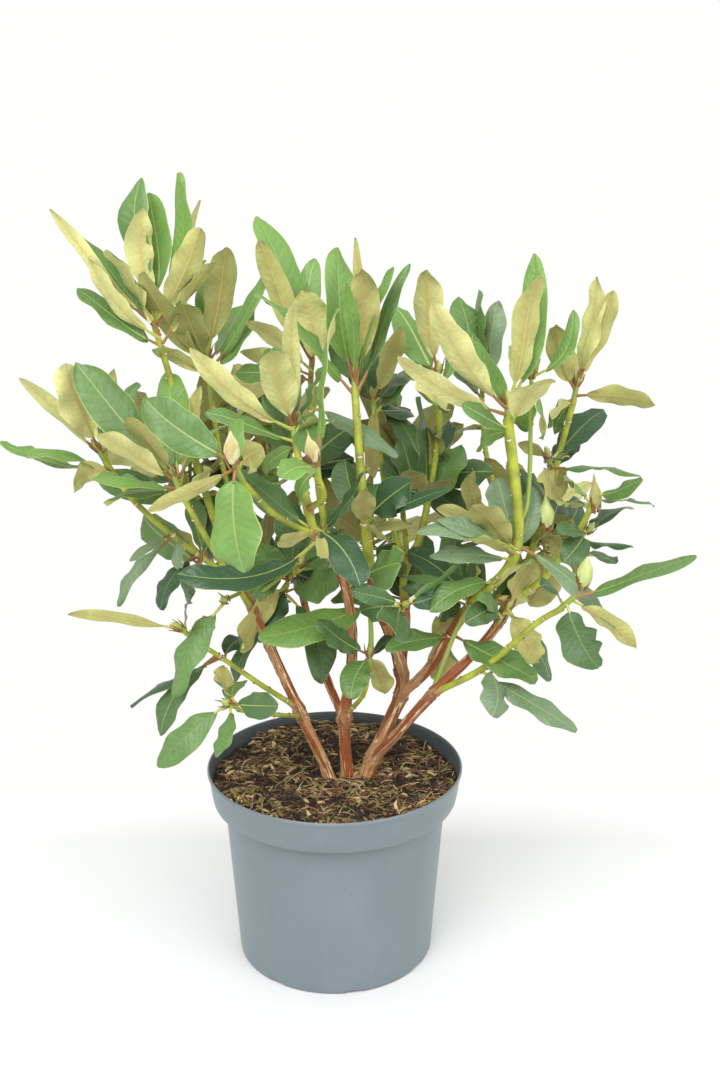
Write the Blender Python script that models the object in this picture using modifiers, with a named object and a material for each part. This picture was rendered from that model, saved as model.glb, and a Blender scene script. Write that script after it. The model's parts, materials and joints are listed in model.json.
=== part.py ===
"""Potted rhododendron: a 23 cm pot, its soil, four stems, their boughs and the masses of leaves.

Metres, +Z up. The origin is the centre of the pot's flat underside. +X is the right side of the
plant seen from its front, and the front looks along -Y. Offsets of leaves are in centimetres.
"""

import math
from dataclasses import dataclass

import bmesh
import bpy
from mathutils import Vector

PLANT_NAME = "potted_rhododendron"
CENTIMETRE = 0.01
GAP = 0.0003                 # running gap left between pieces that touch

# Pot: a tapered body under a wider band that ends in a thin lip.
POT_HEIGHT = 0.180
RIM_RADIUS = 0.115
BAND_HEIGHT = 0.031
BAND_FOOT_RADIUS = 0.110
BODY_TOP_RADIUS = 0.100
BASE_RADIUS = 0.0893
BASE_EDGE = 0.0012
WALL = 0.0017
FLOOR = 0.004
LIP_ROUND = 0.0006
LIP_HEIGHT = 0.003
FLOOR_EDGE_ROUND = 0.002
POT_STEPS = 48

# Soil: it fills the pot and is level round the stems.
SOIL_TOP = 0.166
SOIL_EDGE_DROP = 0.003
SOIL_FLAT_RADIUS = 0.055

# Limbs and masses.
FOOT_COLLAR = 0.005          # upright start of a stem, so its foot is cut level
FOOT_FLARE = 1.25            # a stem's foot is this much thicker where it meets the soil
LIMB_STEP = 0.024            # spacing of the rings along a limb
HALF_MILLIMETRE = 0.0005
WELD_DISTANCE = 0.00002
CUT_GROWTH = 1.3 * GAP       # a carrying limb's cutter is this much fatter than the limb
SEAT_DEPTH = 0.55            # a mass's centre lies this many core radii beyond its limb's tip
SEAT_REACH = 1.0             # the corner over the seat goes out until it meets the limb
SEAT_CLEARANCE = math.radians(40.0)
CORE_UNEVENNESS = 0.16
CORE_WAVES = Vector((5.1, 7.3, 3.7))
LOBE_CATCH = math.radians(34.0)
LOBE_SWAY = 14.0             # the lobes of a whorl rise and fall by this many degrees
LOBE_SWAY_PACE = 2.1
LOBE_SHORTENING = 0.12       # each third lobe of a whorl is shorter by this share, and twice this
GOLDEN_ANGLE = math.radians(137.5)

BARK = ("bark", (0.34, 0.16, 0.09), 0.75)
YOUNG_BARK = ("young_bark", (0.42, 0.46, 0.12), 0.55)
LEAF = ("leaf", (0.13, 0.27, 0.08), 0.45)
PEAT = ("peat", (0.06, 0.04, 0.025), 0.95)
PLASTIC = ("pot_plastic", (0.23, 0.26, 0.28), 0.38)


@dataclass(frozen=True)
class Limb:
    """A tapering stem or bough: where it starts, the places it passes and its thickness in mm."""

    name: str
    parent: str
    rise: float              # height at which it leaves its parent, in metres
    route: tuple
    thick: tuple             # diameter at its foot and at its tip, in millimetres
    finish: tuple = YOUNG_BARK


@dataclass(frozen=True)
class Mass:
    """A mass of leaves on a limb: its core, its whorl of leaf lobes and its furthest tips."""

    name: str
    limb: str
    core: float = 2.4        # radius of the core, in centimetres
    count: int = 5
    reach: float = 7.0       # length of a lobe, in centimetres
    lift: float = 20.0       # angle of a lobe above the level, in degrees
    turn: float = 0.0        # bearing of the first lobe, in degrees
    tips: tuple = ()         # furthest leaf tips from the centre, in centimetres
    centre: tuple = ()       # place of a mass that sits beside its limb, in metres


STEMS = (
    Limb("stem_left", "", 0.0, ((-0.006, -0.008), (-0.031, -0.014, 0.237), (-0.068, -0.010, 0.324),
         (-0.103, 0.010, 0.404), (-0.150, 0.020, 0.572)), (10.0, 5.0), BARK),
    Limb("stem_middle", "", 0.0, ((0.011, -0.004), (0.009, -0.004, 0.223), (0.016, -0.007, 0.295),
         (0.008, -0.028, 0.365), (-0.015, -0.056, 0.415), (-0.031, -0.025, 0.483)), (11.0, 6.0), BARK),
    Limb("stem_right", "", 0.0, ((0.030, 0.000), (0.050, 0.008, 0.218), (0.061, 0.010, 0.250),
         (0.053, 0.010, 0.290), (0.036, 0.000, 0.340), (0.027, -0.018, 0.410),
         (0.018, 0.025, 0.517)), (13.0, 6.5), BARK),
    Limb("stem_far_right", "stem_right", 0.182, ((0.052, -0.010, 0.208), (0.087, -0.030, 0.261),
         (0.127, -0.022, 0.300), (0.154, 0.000, 0.331), (0.176, 0.035, 0.370),
         (0.198, 0.050, 0.449), (0.210, 0.050, 0.503)), (9.5, 5.0), BARK),
)

BOUGHS = (
    Limb("bough_left_tip", "stem_left", 0.352, ((-0.116, 0.000, 0.375), (-0.165, 0.000, 0.418),
         (-0.193, 0.000, 0.458)), (5.5, 5.0)),
    Limb("bough_left_front", "stem_left", 0.325, ((-0.099, -0.034, 0.389),
         (-0.123, -0.050, 0.444)), (5.5, 5.0)),
    Limb("bough_left_high", "stem_left", 0.380, ((-0.091, 0.040, 0.404), (-0.103, 0.062, 0.455),
         (-0.110, 0.070, 0.504)), (5.0, 5.0)),
    Limb("bough_low_left", "stem_left", 0.239, ((-0.062, -0.030, 0.267), (-0.096, -0.042, 0.298),
         (-0.117, -0.050, 0.316)), (5.0, 4.0)),
    Limb("bough_lowest_left", "stem_left", 0.229, ((-0.050, -0.060, 0.253),
         (-0.076, -0.101, 0.275)), (4.0, 3.5)),
    Limb("bough_back_left", "stem_left", 0.295, ((-0.082, 0.045, 0.340), (-0.112, 0.078, 0.390),
         (-0.150, 0.105, 0.422)), (6.0, 5.0)),
    Limb("bough_front_left", "stem_middle", 0.408, ((-0.042, -0.084, 0.432),
         (-0.067, -0.114, 0.468)), (5.5, 4.5)),
    Limb("bough_front_middle", "stem_middle", 0.428, ((-0.006, -0.076, 0.446),
         (-0.010, -0.090, 0.466)), (5.0, 4.5)),
    Limb("bough_middle_top", "stem_middle", 0.385, ((-0.012, 0.005, 0.428), (-0.019, 0.050, 0.472),
         (-0.021, 0.062, 0.519)), (5.5, 5.0)),
    Limb("bough_back_middle", "stem_middle", 0.220, ((-0.007, 0.020, 0.252), (-0.025, 0.050, 0.300),
         (-0.045, 0.102, 0.370), (-0.064, 0.145, 0.432)), (7.5, 5.0), BARK),
    Limb("bough_low_shoot", "stem_middle", 0.226, ((0.026, -0.020, 0.255),
         (0.031, -0.030, 0.287)), (4.5, 4.0)),
    Limb("bough_right", "stem_right", 0.242, ((0.084, -0.008, 0.275), (0.114, -0.028, 0.336),
         (0.147, -0.030, 0.373), (0.155, -0.030, 0.410), (0.143, -0.030, 0.500)), (9.0, 8.6)),
    Limb("bough_right_middle", "stem_right", 0.262, ((0.065, 0.036, 0.300), (0.062, 0.036, 0.345),
         (0.078, 0.046, 0.385), (0.092, 0.068, 0.460), (0.093, 0.070, 0.511)), (7.0, 5.5)),
    Limb("bough_middle_back", "bough_right_middle", 0.352, ((0.050, 0.062, 0.395),
         (0.042, 0.086, 0.440), (0.036, 0.098, 0.483)), (5.5, 5.0)),
    Limb("bough_back_right_middle", "bough_right_middle", 0.318, ((0.066, 0.085, 0.355),
         (0.062, 0.128, 0.396), (0.060, 0.150, 0.420)), (5.5, 5.0)),
    Limb("bough_low_centre", "stem_right", 0.322, ((0.050, -0.028, 0.334),
         (0.058, -0.058, 0.346)), (4.5, 4.0)),
    Limb("bough_low_tip", "stem_far_right", 0.259, ((0.127, -0.052, 0.292), (0.165, -0.078, 0.340),
         (0.185, -0.087, 0.357)), (6.0, 5.0)),
    Limb("bough_right_tip", "stem_far_right", 0.333, ((0.183, -0.002, 0.356), (0.206, -0.018, 0.400),
         (0.215, -0.028, 0.425)), (5.5, 5.0)),
    Limb("bough_right_back", "stem_far_right", 0.352, ((0.158, 0.082, 0.385), (0.143, 0.130, 0.435),
         (0.138, 0.140, 0.490)), (5.0, 4.5)),
    Limb("bough_back_right", "stem_far_right", 0.318, ((0.158, 0.050, 0.336),
         (0.178, 0.115, 0.365)), (5.5, 5.0)),
)

MASSES = (
    Mass("leaves_left_top", "stem_left", 2.0, 3, 6.0, 15, 250,
         ((-0.8, 3.0, 10.5), (2.8, 2.0, 10.6), (0.3, -3.0, 8.2), (4.7, -2.0, 6.5), (-7.8, 0.0, 8.2),
          (-4.2, -3.0, 4.2), (-6.4, 3.0, 1.4), (-2.8, 4.0, 4.0))),
    Mass("leaves_left_high", "bough_left_high", 2.2, 3, 6.5, 5, 40,
         ((-4.8, -3.0, 9.2), (-1.4, -6.0, 6.8), (2.1, -2.0, 11.0), (5.0, 2.0, 9.0),
          (-2.4, -6.0, -0.8))),
    Mass("leaves_left_tip", "bough_left_tip", 2.2, 3, 6.0, 10, 60,
         ((-5.6, -2.0, 6.0), (-1.5, -2.5, 7.3), (0.0, 3.0, 6.8), (-7.9, -1.0, 0.5),
          (-0.7, -6.0, -2.2))),
    Mass("leaves_left_front", "bough_left_front", 2.2, 2, 5.5, 5, 280,
         ((-5.0, -4.0, 4.0), (-2.2, -3.0, 5.2), (-7.6, -1.0, -0.5), (-4.6, -3.5, -2.2))),
    Mass("leaves_low_left", "bough_low_left", 2.4, 3, 6.0, 5, 60,
         ((-8.8, 1.0, 0.4), (-4.5, 3.0, 5.0), (-3.8, -3.0, 3.2), (1.4, -5.0, 3.6),
          (-1.0, -3.0, -4.6), (-5.6, -2.0, -4.8))),
    Mass("leaves_lowest_left", "bough_lowest_left", 1.7, 2, 4.2, 10, 200,
         ((-5.5, -2.0, -4.5), (-0.5, -3.6, -3.0), (4.1, -2.0, 0.6), (0.6, 3.0, 2.6))),
    Mass("leaves_front_left", "bough_front_left", 2.3, 1, 6.0, 20, 200,
         ((-6.7, 2.0, 4.6), (0.8, -3.0, -7.4), (-6.5, 0.5, -3.8), (1.7, 6.5, 0.4))),
    Mass("leaves_front_middle", "bough_front_middle", 1.9, 2, 5.0, -10, 300,
         ((1.6, 2.0, 11.2), (-3.0, -6.8, 0.0))),
    Mass("leaves_middle_left", "stem_middle", 2.3, 3, 6.5, 10, 20,
         ((-1.4, -4.0, 6.0), (0.4, -3.0, 9.5), (-7.9, -2.0, 6.0), (-6.8, -2.0, 0.8))),
    Mass("leaves_middle_top", "bough_middle_top", 2.3, 2, 7.0, 10, 60,
         ((-4.8, 3.0, 12.4), (-4.0, -1.0, 10.2), (-5.0, -4.0, 3.6), (2.0, 3.0, 9.6),
          (0.2, -5.0, 6.4))),
    Mass("leaves_middle_high", "stem_right", 2.2, 2, 6.0, -20, 280,
         ((0.5, -3.0, 9.2), (0.2, 2.5, 11.6), (3.4, 1.0, 9.0), (5.6, 3.0, 9.4))),
    Mass("leaves_middle_back", "bough_middle_back", 2.2, 4, 7.5, 10, 30,
         ((2.4, -5.0, 6.6), (-0.6, 5.0, 8.6), (4.5, 2.0, -0.6))),
    Mass("leaves_right_middle", "bough_right_middle", 2.1, 3, 6.5, 5, 350,
         ((-1.1, -2.0, 8.6), (-0.2, -6.8, -1.8), (3.2, 5.0, 2.8))),
    Mass("leaves_right_back", "bough_right_back", 2.2, 4, 7.0, 5, 20,
         ((-2.2, 3.0, 7.6), (1.6, 3.0, 7.2), (-3.1, -2.0, 4.4))),
    Mass("leaves_right_high", "bough_right", 2.2, 2, 5.5, 0, 300,
         ((1.8, -2.0, 10.0), (2.4, 3.5, 11.0), (-6.4, -3.0, 7.8), (-9.0, -4.0, 4.0),
          (2.3, -6.8, 2.8))),
    Mass("leaves_right_top", "stem_far_right", 2.0, 3, 6.0, 10, 60,
         ((1.1, -0.5, 9.0), (3.2, -2.0, 7.8), (-2.9, -6.0, 5.6), (6.2, -3.0, -1.8))),
    Mass("leaves_right_tip", "bough_right_tip", 1.6, 2, 4.5, 5, 90,
         ((3.2, -4.0, 2.2), (-2.9, -4.0, 2.2), (5.7, 2.0, -1.0))),
    Mass("leaves_low_tip", "bough_low_tip", 2.0, 2, 6.0, 5, 80,
         ((9.6, 0.5, 3.8), (5.4, 1.0, -4.6), (1.7, -4.0, -4.4), (-3.4, -4.0, 2.1))),
    Mass("leaves_low_shoot", "bough_low_shoot", 1.5, 2, 4.0, 0, 160,
         ((-3.8, -2.6, -0.6), (-4.4, 3.0, 1.8), (0.6, -4.0, -0.8))),
    Mass("leaves_low_centre", "bough_low_centre", 1.8, 2, 4.5, 10, 260,
         ((-3.6, -2.0, 1.9), (5.0, 4.0, 2.4), (-0.9, -4.4, -0.8))),
    Mass("leaves_back_left", "bough_back_left", 3.0, 8, 9.0, 15, 10, ((-3.0, 2.0, 9.0),)),
    Mass("leaves_back_middle", "bough_back_middle", 3.0, 8, 9.0, 15, 50, ((0.5, 2.0, 10.0),)),
    Mass("leaves_back_right_middle", "bough_back_right_middle", 3.0, 8, 8.8, 15, 0,
         ((-0.5, 3.0, 8.5),)),
    Mass("leaves_back_right", "bough_back_right", 3.0, 8, 9.0, 15, 30, ((2.0, 2.0, 8.0),)),
    Mass("leaves_left_inner", "stem_left", 2.9, 6, 7.0, -5, 300, (),
         (-0.038, 0.004, 0.345)),
    Mass("leaves_centre_left", "bough_front_left", 2.9, 5, 7.5, 10, 190,
         ((-9.0, -2.0, -2.6), (-5.6, 2.0, 4.6)), (-0.050, -0.074, 0.392)),
    Mass("leaves_centre", "stem_right", 3.0, 6, 7.5, 15, 300,
         ((-1.0, -6.0, -1.0),), (0.054, -0.046, 0.420)),
    Mass("leaves_centre_right", "bough_right", 2.8, 5, 7.5, 15, 120,
         ((-5.8, -1.5, 3.0), (-0.4, -4.2, 3.2)), (0.119, -0.052, 0.400)),
    Mass("leaves_right_hanging", "bough_right", 1.8, 2, 5.0, 40, 90,
         ((5.2, -2.4, -5.2),), (0.178, -0.058, 0.397)),
    Mass("leaves_right_inner", "stem_far_right", 2.2, 5, 6.0, 10, 10,
         ((6.6, 2.0, 1.0),), (0.181, 0.008, 0.400)),
    Mass("leaves_low_right", "bough_low_tip", 1.8, 1, 4.0, 0, 20,
         ((-1.6, -3.8, -1.2), (5.2, -2.0, -3.4), (2.4, 4.0, -2.0)), (0.150, -0.066, 0.276)),
    Mass("leaves_low_right_middle", "bough_right", 1.5, 1, 4.0, 0, 250,
         ((-4.4, -1.6, -0.5), (4.0, -2.6, -2.4)), (0.090, -0.052, 0.316)),
    Mass("leaves_back_low_left", "bough_back_middle", 2.8, 7, 9.0, -5, 100, (),
         (-0.066, 0.108, 0.340)),
    Mass("leaves_back_low_right", "bough_back_right_middle", 2.8, 7, 9.0, -5, 20, (),
         (0.030, 0.124, 0.348)),
)


def clear_scene():
    """Remove every object of the start-up scene."""
    for item in list(bpy.data.objects):
        bpy.data.objects.remove(item, do_unlink=True)


def new_collection(name):
    """Make a collection in the scene."""
    group = bpy.data.collections.new(name)
    bpy.context.scene.collection.children.link(group)
    return group


def finish_material(finish):
    """Return the material of a finish, made once."""
    name, colour, roughness = finish
    found = bpy.data.materials.get(name)
    if found:
        return found
    material = bpy.data.materials.new(name)
    material.use_nodes = True
    shader = material.node_tree.nodes["Principled BSDF"]
    shader.inputs["Base Color"].default_value = (*colour, 1.0)
    shader.inputs["Roughness"].default_value = roughness
    shader.inputs["Metallic"].default_value = 0.0
    return material


def add_object(name, data, group, finish=None):
    """Add an object for a mesh or curve to a collection, with its finish."""
    item = bpy.data.objects.new(name, data)
    group.objects.link(item)
    if finish:
        data.materials.append(finish_material(finish))
    return item


def turned(name, profile, group, finish):
    """Turn a profile of (radius, height) points about the upright axis through the origin."""
    mesh = bpy.data.meshes.new(name)
    points = [(radius, 0.0, height) for radius, height in profile]
    mesh.from_pydata(points, [(i, i + 1) for i in range(len(points) - 1)], [])
    item = add_object(name, mesh, group, finish)
    screw = item.modifiers.new("turn", "SCREW")
    screw.steps = POT_STEPS
    screw.render_steps = POT_STEPS
    screw.use_merge_vertices = True
    screw.merge_threshold = 0.00005
    return item


def band_inner_radius(height):
    """Inner radius of the pot's band at a height."""
    foot = POT_HEIGHT - BAND_HEIGHT
    share = (height - foot) / BAND_HEIGHT
    return BAND_FOOT_RADIUS - WALL + share * (RIM_RADIUS - BAND_FOOT_RADIUS)


def make_pot(group):
    """The pot: floor, tapered wall, ledge, band and rounded lip, as one shell."""
    band_foot = POT_HEIGHT - BAND_HEIGHT
    ledge = band_foot + WALL
    profile = [
        (0.0, FLOOR),
        (BASE_RADIUS - WALL - FLOOR_EDGE_ROUND, FLOOR),
        (BODY_TOP_RADIUS - WALL, ledge),
        (band_inner_radius(ledge), ledge),
        (band_inner_radius(POT_HEIGHT) - LIP_ROUND, POT_HEIGHT - LIP_ROUND),
        (band_inner_radius(POT_HEIGHT), POT_HEIGHT),
        (RIM_RADIUS - LIP_ROUND, POT_HEIGHT),
        (RIM_RADIUS, POT_HEIGHT - LIP_ROUND),
        (RIM_RADIUS, POT_HEIGHT - LIP_HEIGHT),
        (BAND_FOOT_RADIUS, band_foot),
        (BODY_TOP_RADIUS, band_foot),
        (BASE_RADIUS, BASE_EDGE),
        (BASE_RADIUS - BASE_EDGE, 0.0),
        (0.0, 0.0),
    ]
    return turned("pot", profile, group, PLASTIC)


def make_soil(group):
    """The soil: it follows the inside of the pot and is level round the stems."""
    ledge = POT_HEIGHT - BAND_HEIGHT + WALL
    edge_top = SOIL_TOP - SOIL_EDGE_DROP
    profile = [
        (0.0, SOIL_TOP),
        (SOIL_FLAT_RADIUS, SOIL_TOP),
        (band_inner_radius(edge_top) - 2 * GAP, edge_top),
        (band_inner_radius(ledge) - 2 * GAP, ledge + GAP),
        (BODY_TOP_RADIUS - WALL - 2 * GAP, ledge + GAP),
        (BASE_RADIUS - WALL - FLOOR_EDGE_ROUND - 2 * GAP, FLOOR + GAP),
        (0.0, FLOOR + GAP),
    ]
    return turned("soil", profile, group, PEAT)


def smooth_route(places):
    """Points about a ring's spacing apart on a smooth curve through the places."""
    ends = [places[0] * 2 - places[1]] + places + [places[-1] * 2 - places[-2]]
    route = []
    for before, start, end, after in zip(ends, ends[1:], ends[2:], ends[3:]):
        steps = max(1, round((end - start).length / LIMB_STEP))
        for step in range(steps):
            t = step / steps
            pull = start * 2 + (end - before) * t
            bend = (before * 2 - start * 5 + end * 4 - after) * t * t
            close = (start * 3 - before - end * 3 + after) * t ** 3
            route.append((pull + bend + close) * 0.5)
    route.append(places[-1])
    return route


def point_at_height(route, height):
    """The place where a rising route passes a height."""
    for low, high in zip(route, route[1:]):
        if low.z <= height <= high.z:
            return low.lerp(high, (height - low.z) / (high.z - low.z))
    return route[-1].copy()


def limb_radius(limb, share):
    """Radius of a limb at a share of its length."""
    foot, tip = limb.thick
    return (foot + (tip - foot) * share) * HALF_MILLIMETRE


def limb_route(limb, routes):
    """The route of a limb, from the soil or from the middle of its parent."""
    if limb.parent:
        places = [point_at_height(routes[limb.parent], limb.rise)]
        places += [Vector(place) for place in limb.route]
        return smooth_route(places)
    foot = Vector((*limb.route[0], SOIL_TOP + GAP))
    collar = foot + Vector((0.0, 0.0, FOOT_COLLAR))
    return [foot] + smooth_route([collar] + [Vector(place) for place in limb.route[1:]])


def limb_solid(name, limb, route, group, grow=0.0):
    """A tapering round limb along a route, as a mesh with its caps welded."""
    curve = bpy.data.curves.new(name, "CURVE")
    curve.dimensions = "3D"
    curve.bevel_depth = 1.0
    curve.bevel_resolution = 2
    curve.use_fill_caps = True
    spline = curve.splines.new("POLY")
    spline.points.add(len(route) - 1)
    flare = 1.0 if limb.parent else FOOT_FLARE
    for index, (point, place) in enumerate(zip(spline.points, route)):
        share = index / (len(route) - 1)
        point.co = (*place, 1.0)
        point.radius = limb_radius(limb, share) * (flare if index == 0 else 1.0) + grow
    tube = add_object(name + "_curve", curve, group)
    ready = tube.evaluated_get(bpy.context.evaluated_depsgraph_get())
    mesh = bpy.data.meshes.new_from_object(ready)
    mesh.name = name
    shape = bmesh.new()
    shape.from_mesh(mesh)
    bmesh.ops.remove_doubles(shape, verts=shape.verts, dist=WELD_DISTANCE)
    bmesh.ops.recalc_face_normals(shape, faces=shape.faces)
    shape.to_mesh(mesh)
    shape.free()
    solid = add_object(name, mesh, group)
    solid.matrix_world = tube.matrix_world
    bpy.data.objects.remove(tube, do_unlink=True)
    return solid


def make_limb(limb, routes, limbs, group, cutters):
    """A limb as a solid, its foot cut to the side of the limb that carries it."""
    routes[limb.name] = limb_route(limb, routes)
    solid = limb_solid(limb.name, limb, routes[limb.name], group)
    solid.data.materials.clear()
    solid.data.materials.append(finish_material(limb.finish))
    if limb.parent:
        name = "cut_" + limb.name
        cutter = limb_solid(name, limbs[limb.parent], routes[limb.parent], cutters, CUT_GROWTH)
        cutter.hide_render = True
        cutter.display_type = "WIRE"
        cut = solid.modifiers.new("foot", "BOOLEAN")
        cut.operation = "DIFFERENCE"
        cut.solver = "EXACT"
        cut.object = cutter
    return solid


def mass_centre(mass, routes):
    """The centre of a mass: beyond its limb's tip, or where it hangs beside the limb."""
    if mass.centre:
        return Vector(mass.centre)
    route = routes[mass.limb]
    heading = (route[-1] - route[-2]).normalized()
    return route[-1] + heading * mass.core * CENTIMETRE * SEAT_DEPTH


def nearest_on_segment(place, start, end):
    """The nearest place on a straight segment, and its share of the segment."""
    along = end - start
    share = max(0.0, min(1.0, (place - start).dot(along) / along.length_squared))
    return start + along * share, share


def limb_wall(centre, limb, route):
    """Planes that part a mass from a limb: their direction and distance from the centre."""
    walls = []
    for index, (start, end) in enumerate(zip(route, route[1:])):
        near, share = nearest_on_segment(centre, start, end)
        away = near - centre
        radius = limb_radius(limb, (index + share) / (len(route) - 1))
        walls.append((away.normalized(), away.length - radius - GAP))
    return walls


def pot_wall(centre):
    """The plane that parts a mass from the pot."""
    level = Vector((centre.x, centre.y, 0.0))
    if level.length > RIM_RADIUS:
        level = level.normalized() * RIM_RADIUS
    near = Vector((level.x, level.y, min(POT_HEIGHT, centre.z)))
    away = near - centre
    return away.normalized(), away.length - GAP


def cell_walls(mass, centre, centres, routes, limbs):
    """All planes round a mass: half way to the other masses, and off the limbs and the pot."""
    walls = [pot_wall(centre)]
    own_core = mass.core * CENTIMETRE
    for other, (place, core) in centres.items():
        if other != mass.name:
            away = place - centre
            reach = away.length
            share = (reach * reach + own_core ** 2 - core ** 2) / (2 * reach)
            walls.append((away.normalized(), share - GAP * 0.5))
    for name, route in routes.items():
        if mass.centre or name != mass.limb:
            walls += limb_wall(centre, limbs[name], route)
    return walls


def seat_wall(mass, centre, routes):
    """The plane across the tip of the limb that a mass sits on."""
    away = routes[mass.limb][-1] - centre
    return away.normalized(), away.length - GAP


def seat_direction(mass, centre, routes):
    """The direction from a mass's centre to its seat on its limb."""
    route = routes[mass.limb]
    if not mass.centre:
        return (route[-1] - centre).normalized()
    places = [nearest_on_segment(centre, a, b)[0] for a, b in zip(route, route[1:])]
    near = min(places, key=lambda place: (place - centre).length)
    return (near - centre).normalized()


def lobe_offsets(mass):
    """The leaf tips of a mass from its centre: the furthest tips, then a whorl by golden angle."""
    offsets = [Vector(tip) * CENTIMETRE for tip in mass.tips]
    for index in range(mass.count):
        bearing = math.radians(mass.turn) + index * GOLDEN_ANGLE
        lift = math.radians(mass.lift + LOBE_SWAY * math.sin(index * LOBE_SWAY_PACE))
        level = math.cos(lift)
        way = Vector((level * math.cos(bearing), level * math.sin(bearing), math.sin(lift)))
        offsets.append(way * mass.reach * CENTIMETRE * (1 - LOBE_SHORTENING * (index % 3)))
    return offsets


def held_inside(offset, walls):
    """Shorten an offset from the centre until it is inside every wall."""
    share = 1.0
    for direction, distance in walls:
        toward = offset.dot(direction)
        if toward > distance:
            share = min(share, distance / toward)
    return offset * share


def make_mass(mass, centres, routes, limbs, group):
    """A mass: a faceted core whose corners are drawn out to the tips of its leaves."""
    centre = centres[mass.name][0]
    seat = seat_direction(mass, centre, routes)
    walls = cell_walls(mass, centre, centres, routes, limbs)
    shape = bmesh.new()
    bmesh.ops.create_icosphere(shape, subdivisions=2, radius=1.0)
    shape.verts.ensure_lookup_table()
    turn = shape.verts[0].co.normalized().rotation_difference(seat)
    free = []
    for index, corner in enumerate(shape.verts):
        way = (turn @ corner.co).normalized()
        uneven = 1 + CORE_UNEVENNESS * math.sin(way.dot(CORE_WAVES) + mass.turn)
        corner.co = way * mass.core * CENTIMETRE * uneven
        if way.angle(seat) > SEAT_CLEARANCE:
            free.append(corner)
        if index == 0:
            corner.co = way * SEAT_REACH
    for offset in lobe_offsets(mass):
        near = min(free, key=lambda corner: corner.co.angle(offset))
        if near.co.angle(offset) < LOBE_CATCH:
            near.co = offset
            free.remove(near)
    for corner in shape.verts:
        near_seat = corner.co.angle(seat) <= SEAT_CLEARANCE and not mass.centre
        bounds = walls + [seat_wall(mass, centre, routes)] if near_seat else walls
        corner.co = centre + held_inside(corner.co, bounds)
    mesh = bpy.data.meshes.new(mass.name)
    shape.to_mesh(mesh)
    shape.free()
    return add_object(mass.name, mesh, group, LEAF)


def build_plant():
    """Build the pot, the soil, the limbs and the masses of leaves."""
    clear_scene()
    group = new_collection(PLANT_NAME)
    cutters = new_collection("cutters")
    make_pot(group)
    make_soil(group)
    limbs = {limb.name: limb for limb in STEMS + BOUGHS}
    routes = {}
    for limb in STEMS + BOUGHS:
        make_limb(limb, routes, limbs, group, cutters)
    centres = {mass.name: (mass_centre(mass, routes), mass.core * CENTIMETRE) for mass in MASSES}
    for mass in MASSES:
        make_mass(mass, centres, routes, limbs, group)


build_plant()
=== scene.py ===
"""Potted rhododendron: pot, peat, barked stems and boughs, and whorls of leaves with their buds.

Metres, +Z up. The origin is the centre of the pot's underside, +X is the right side of the plant
and its front looks along -Y. Offsets of leaf tips are in centimetres: across, back and up.
"""

import json
import logging
import math
from collections.abc import Callable, Iterable
from dataclasses import dataclass, field
from enum import Enum, IntEnum
from math import cos, exp, pi, radians, sin
from random import Random

import bmesh
import bpy
import numpy as np
from mathutils import Matrix, Vector, noise

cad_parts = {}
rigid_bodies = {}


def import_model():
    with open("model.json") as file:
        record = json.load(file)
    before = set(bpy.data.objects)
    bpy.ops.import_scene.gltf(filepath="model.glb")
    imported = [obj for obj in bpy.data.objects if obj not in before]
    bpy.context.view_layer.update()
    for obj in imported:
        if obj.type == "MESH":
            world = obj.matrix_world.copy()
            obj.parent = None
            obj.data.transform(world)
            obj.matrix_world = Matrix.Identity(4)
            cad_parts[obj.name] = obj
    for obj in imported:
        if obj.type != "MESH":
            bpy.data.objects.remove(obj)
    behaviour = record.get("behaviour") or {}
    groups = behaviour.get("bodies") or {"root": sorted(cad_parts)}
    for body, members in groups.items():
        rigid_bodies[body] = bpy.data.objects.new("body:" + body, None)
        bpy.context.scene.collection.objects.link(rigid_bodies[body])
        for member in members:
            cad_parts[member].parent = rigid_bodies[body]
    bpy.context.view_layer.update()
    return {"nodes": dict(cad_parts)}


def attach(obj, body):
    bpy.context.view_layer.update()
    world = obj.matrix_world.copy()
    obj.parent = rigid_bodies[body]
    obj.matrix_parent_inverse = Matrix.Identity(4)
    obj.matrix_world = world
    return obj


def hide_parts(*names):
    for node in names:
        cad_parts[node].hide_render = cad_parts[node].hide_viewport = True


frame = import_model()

LOG = logging.getLogger("potted_rhododendron")
BODY = "root"

CENTIMETRE = 0.01
MILLIMETRE = 0.001
GOLDEN_ANGLE = radians(137.5)
SMOOTH_ANGLE = radians(50.0)
FRONT = Vector((0.0, -0.96, 0.28))   # the way the plant's front looks, tilted up a little
UP = Vector((0.0, 0.0, 1.0))

Item = bpy.types.Object
Node = bpy.types.Node
Tree = bpy.types.NodeTree
Socket = bpy.types.NodeSocket
Place = tuple[float, float, float]   # a place, a turn or a scale
Colour = tuple[float, float, float]
WHITE = (1.0, 1.0, 0.992)
Value = Socket | float | Colour
Pair = tuple[Vector, Vector]         # two directions across a route or a shoot


# --- Bench: the few moves every piece is made with ---


def deselect() -> None:
    """Leave edit mode and drop whatever is selected."""
    if bpy.context.mode != "OBJECT":
        bpy.ops.object.mode_set(mode="OBJECT")
    bpy.ops.object.select_all(action="DESELECT")


def hold(item: Item) -> None:
    """Select one object alone and make it active."""
    deselect()
    item.select_set(True)
    bpy.context.view_layer.objects.active = item


def edit(item: Item) -> None:
    """Open an object in edit mode with vertices selectable and all of them selected."""
    hold(item)
    bpy.ops.object.mode_set(mode="EDIT")
    bpy.ops.mesh.select_mode(type="VERT")
    bpy.ops.mesh.select_all(action="SELECT")


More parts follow.
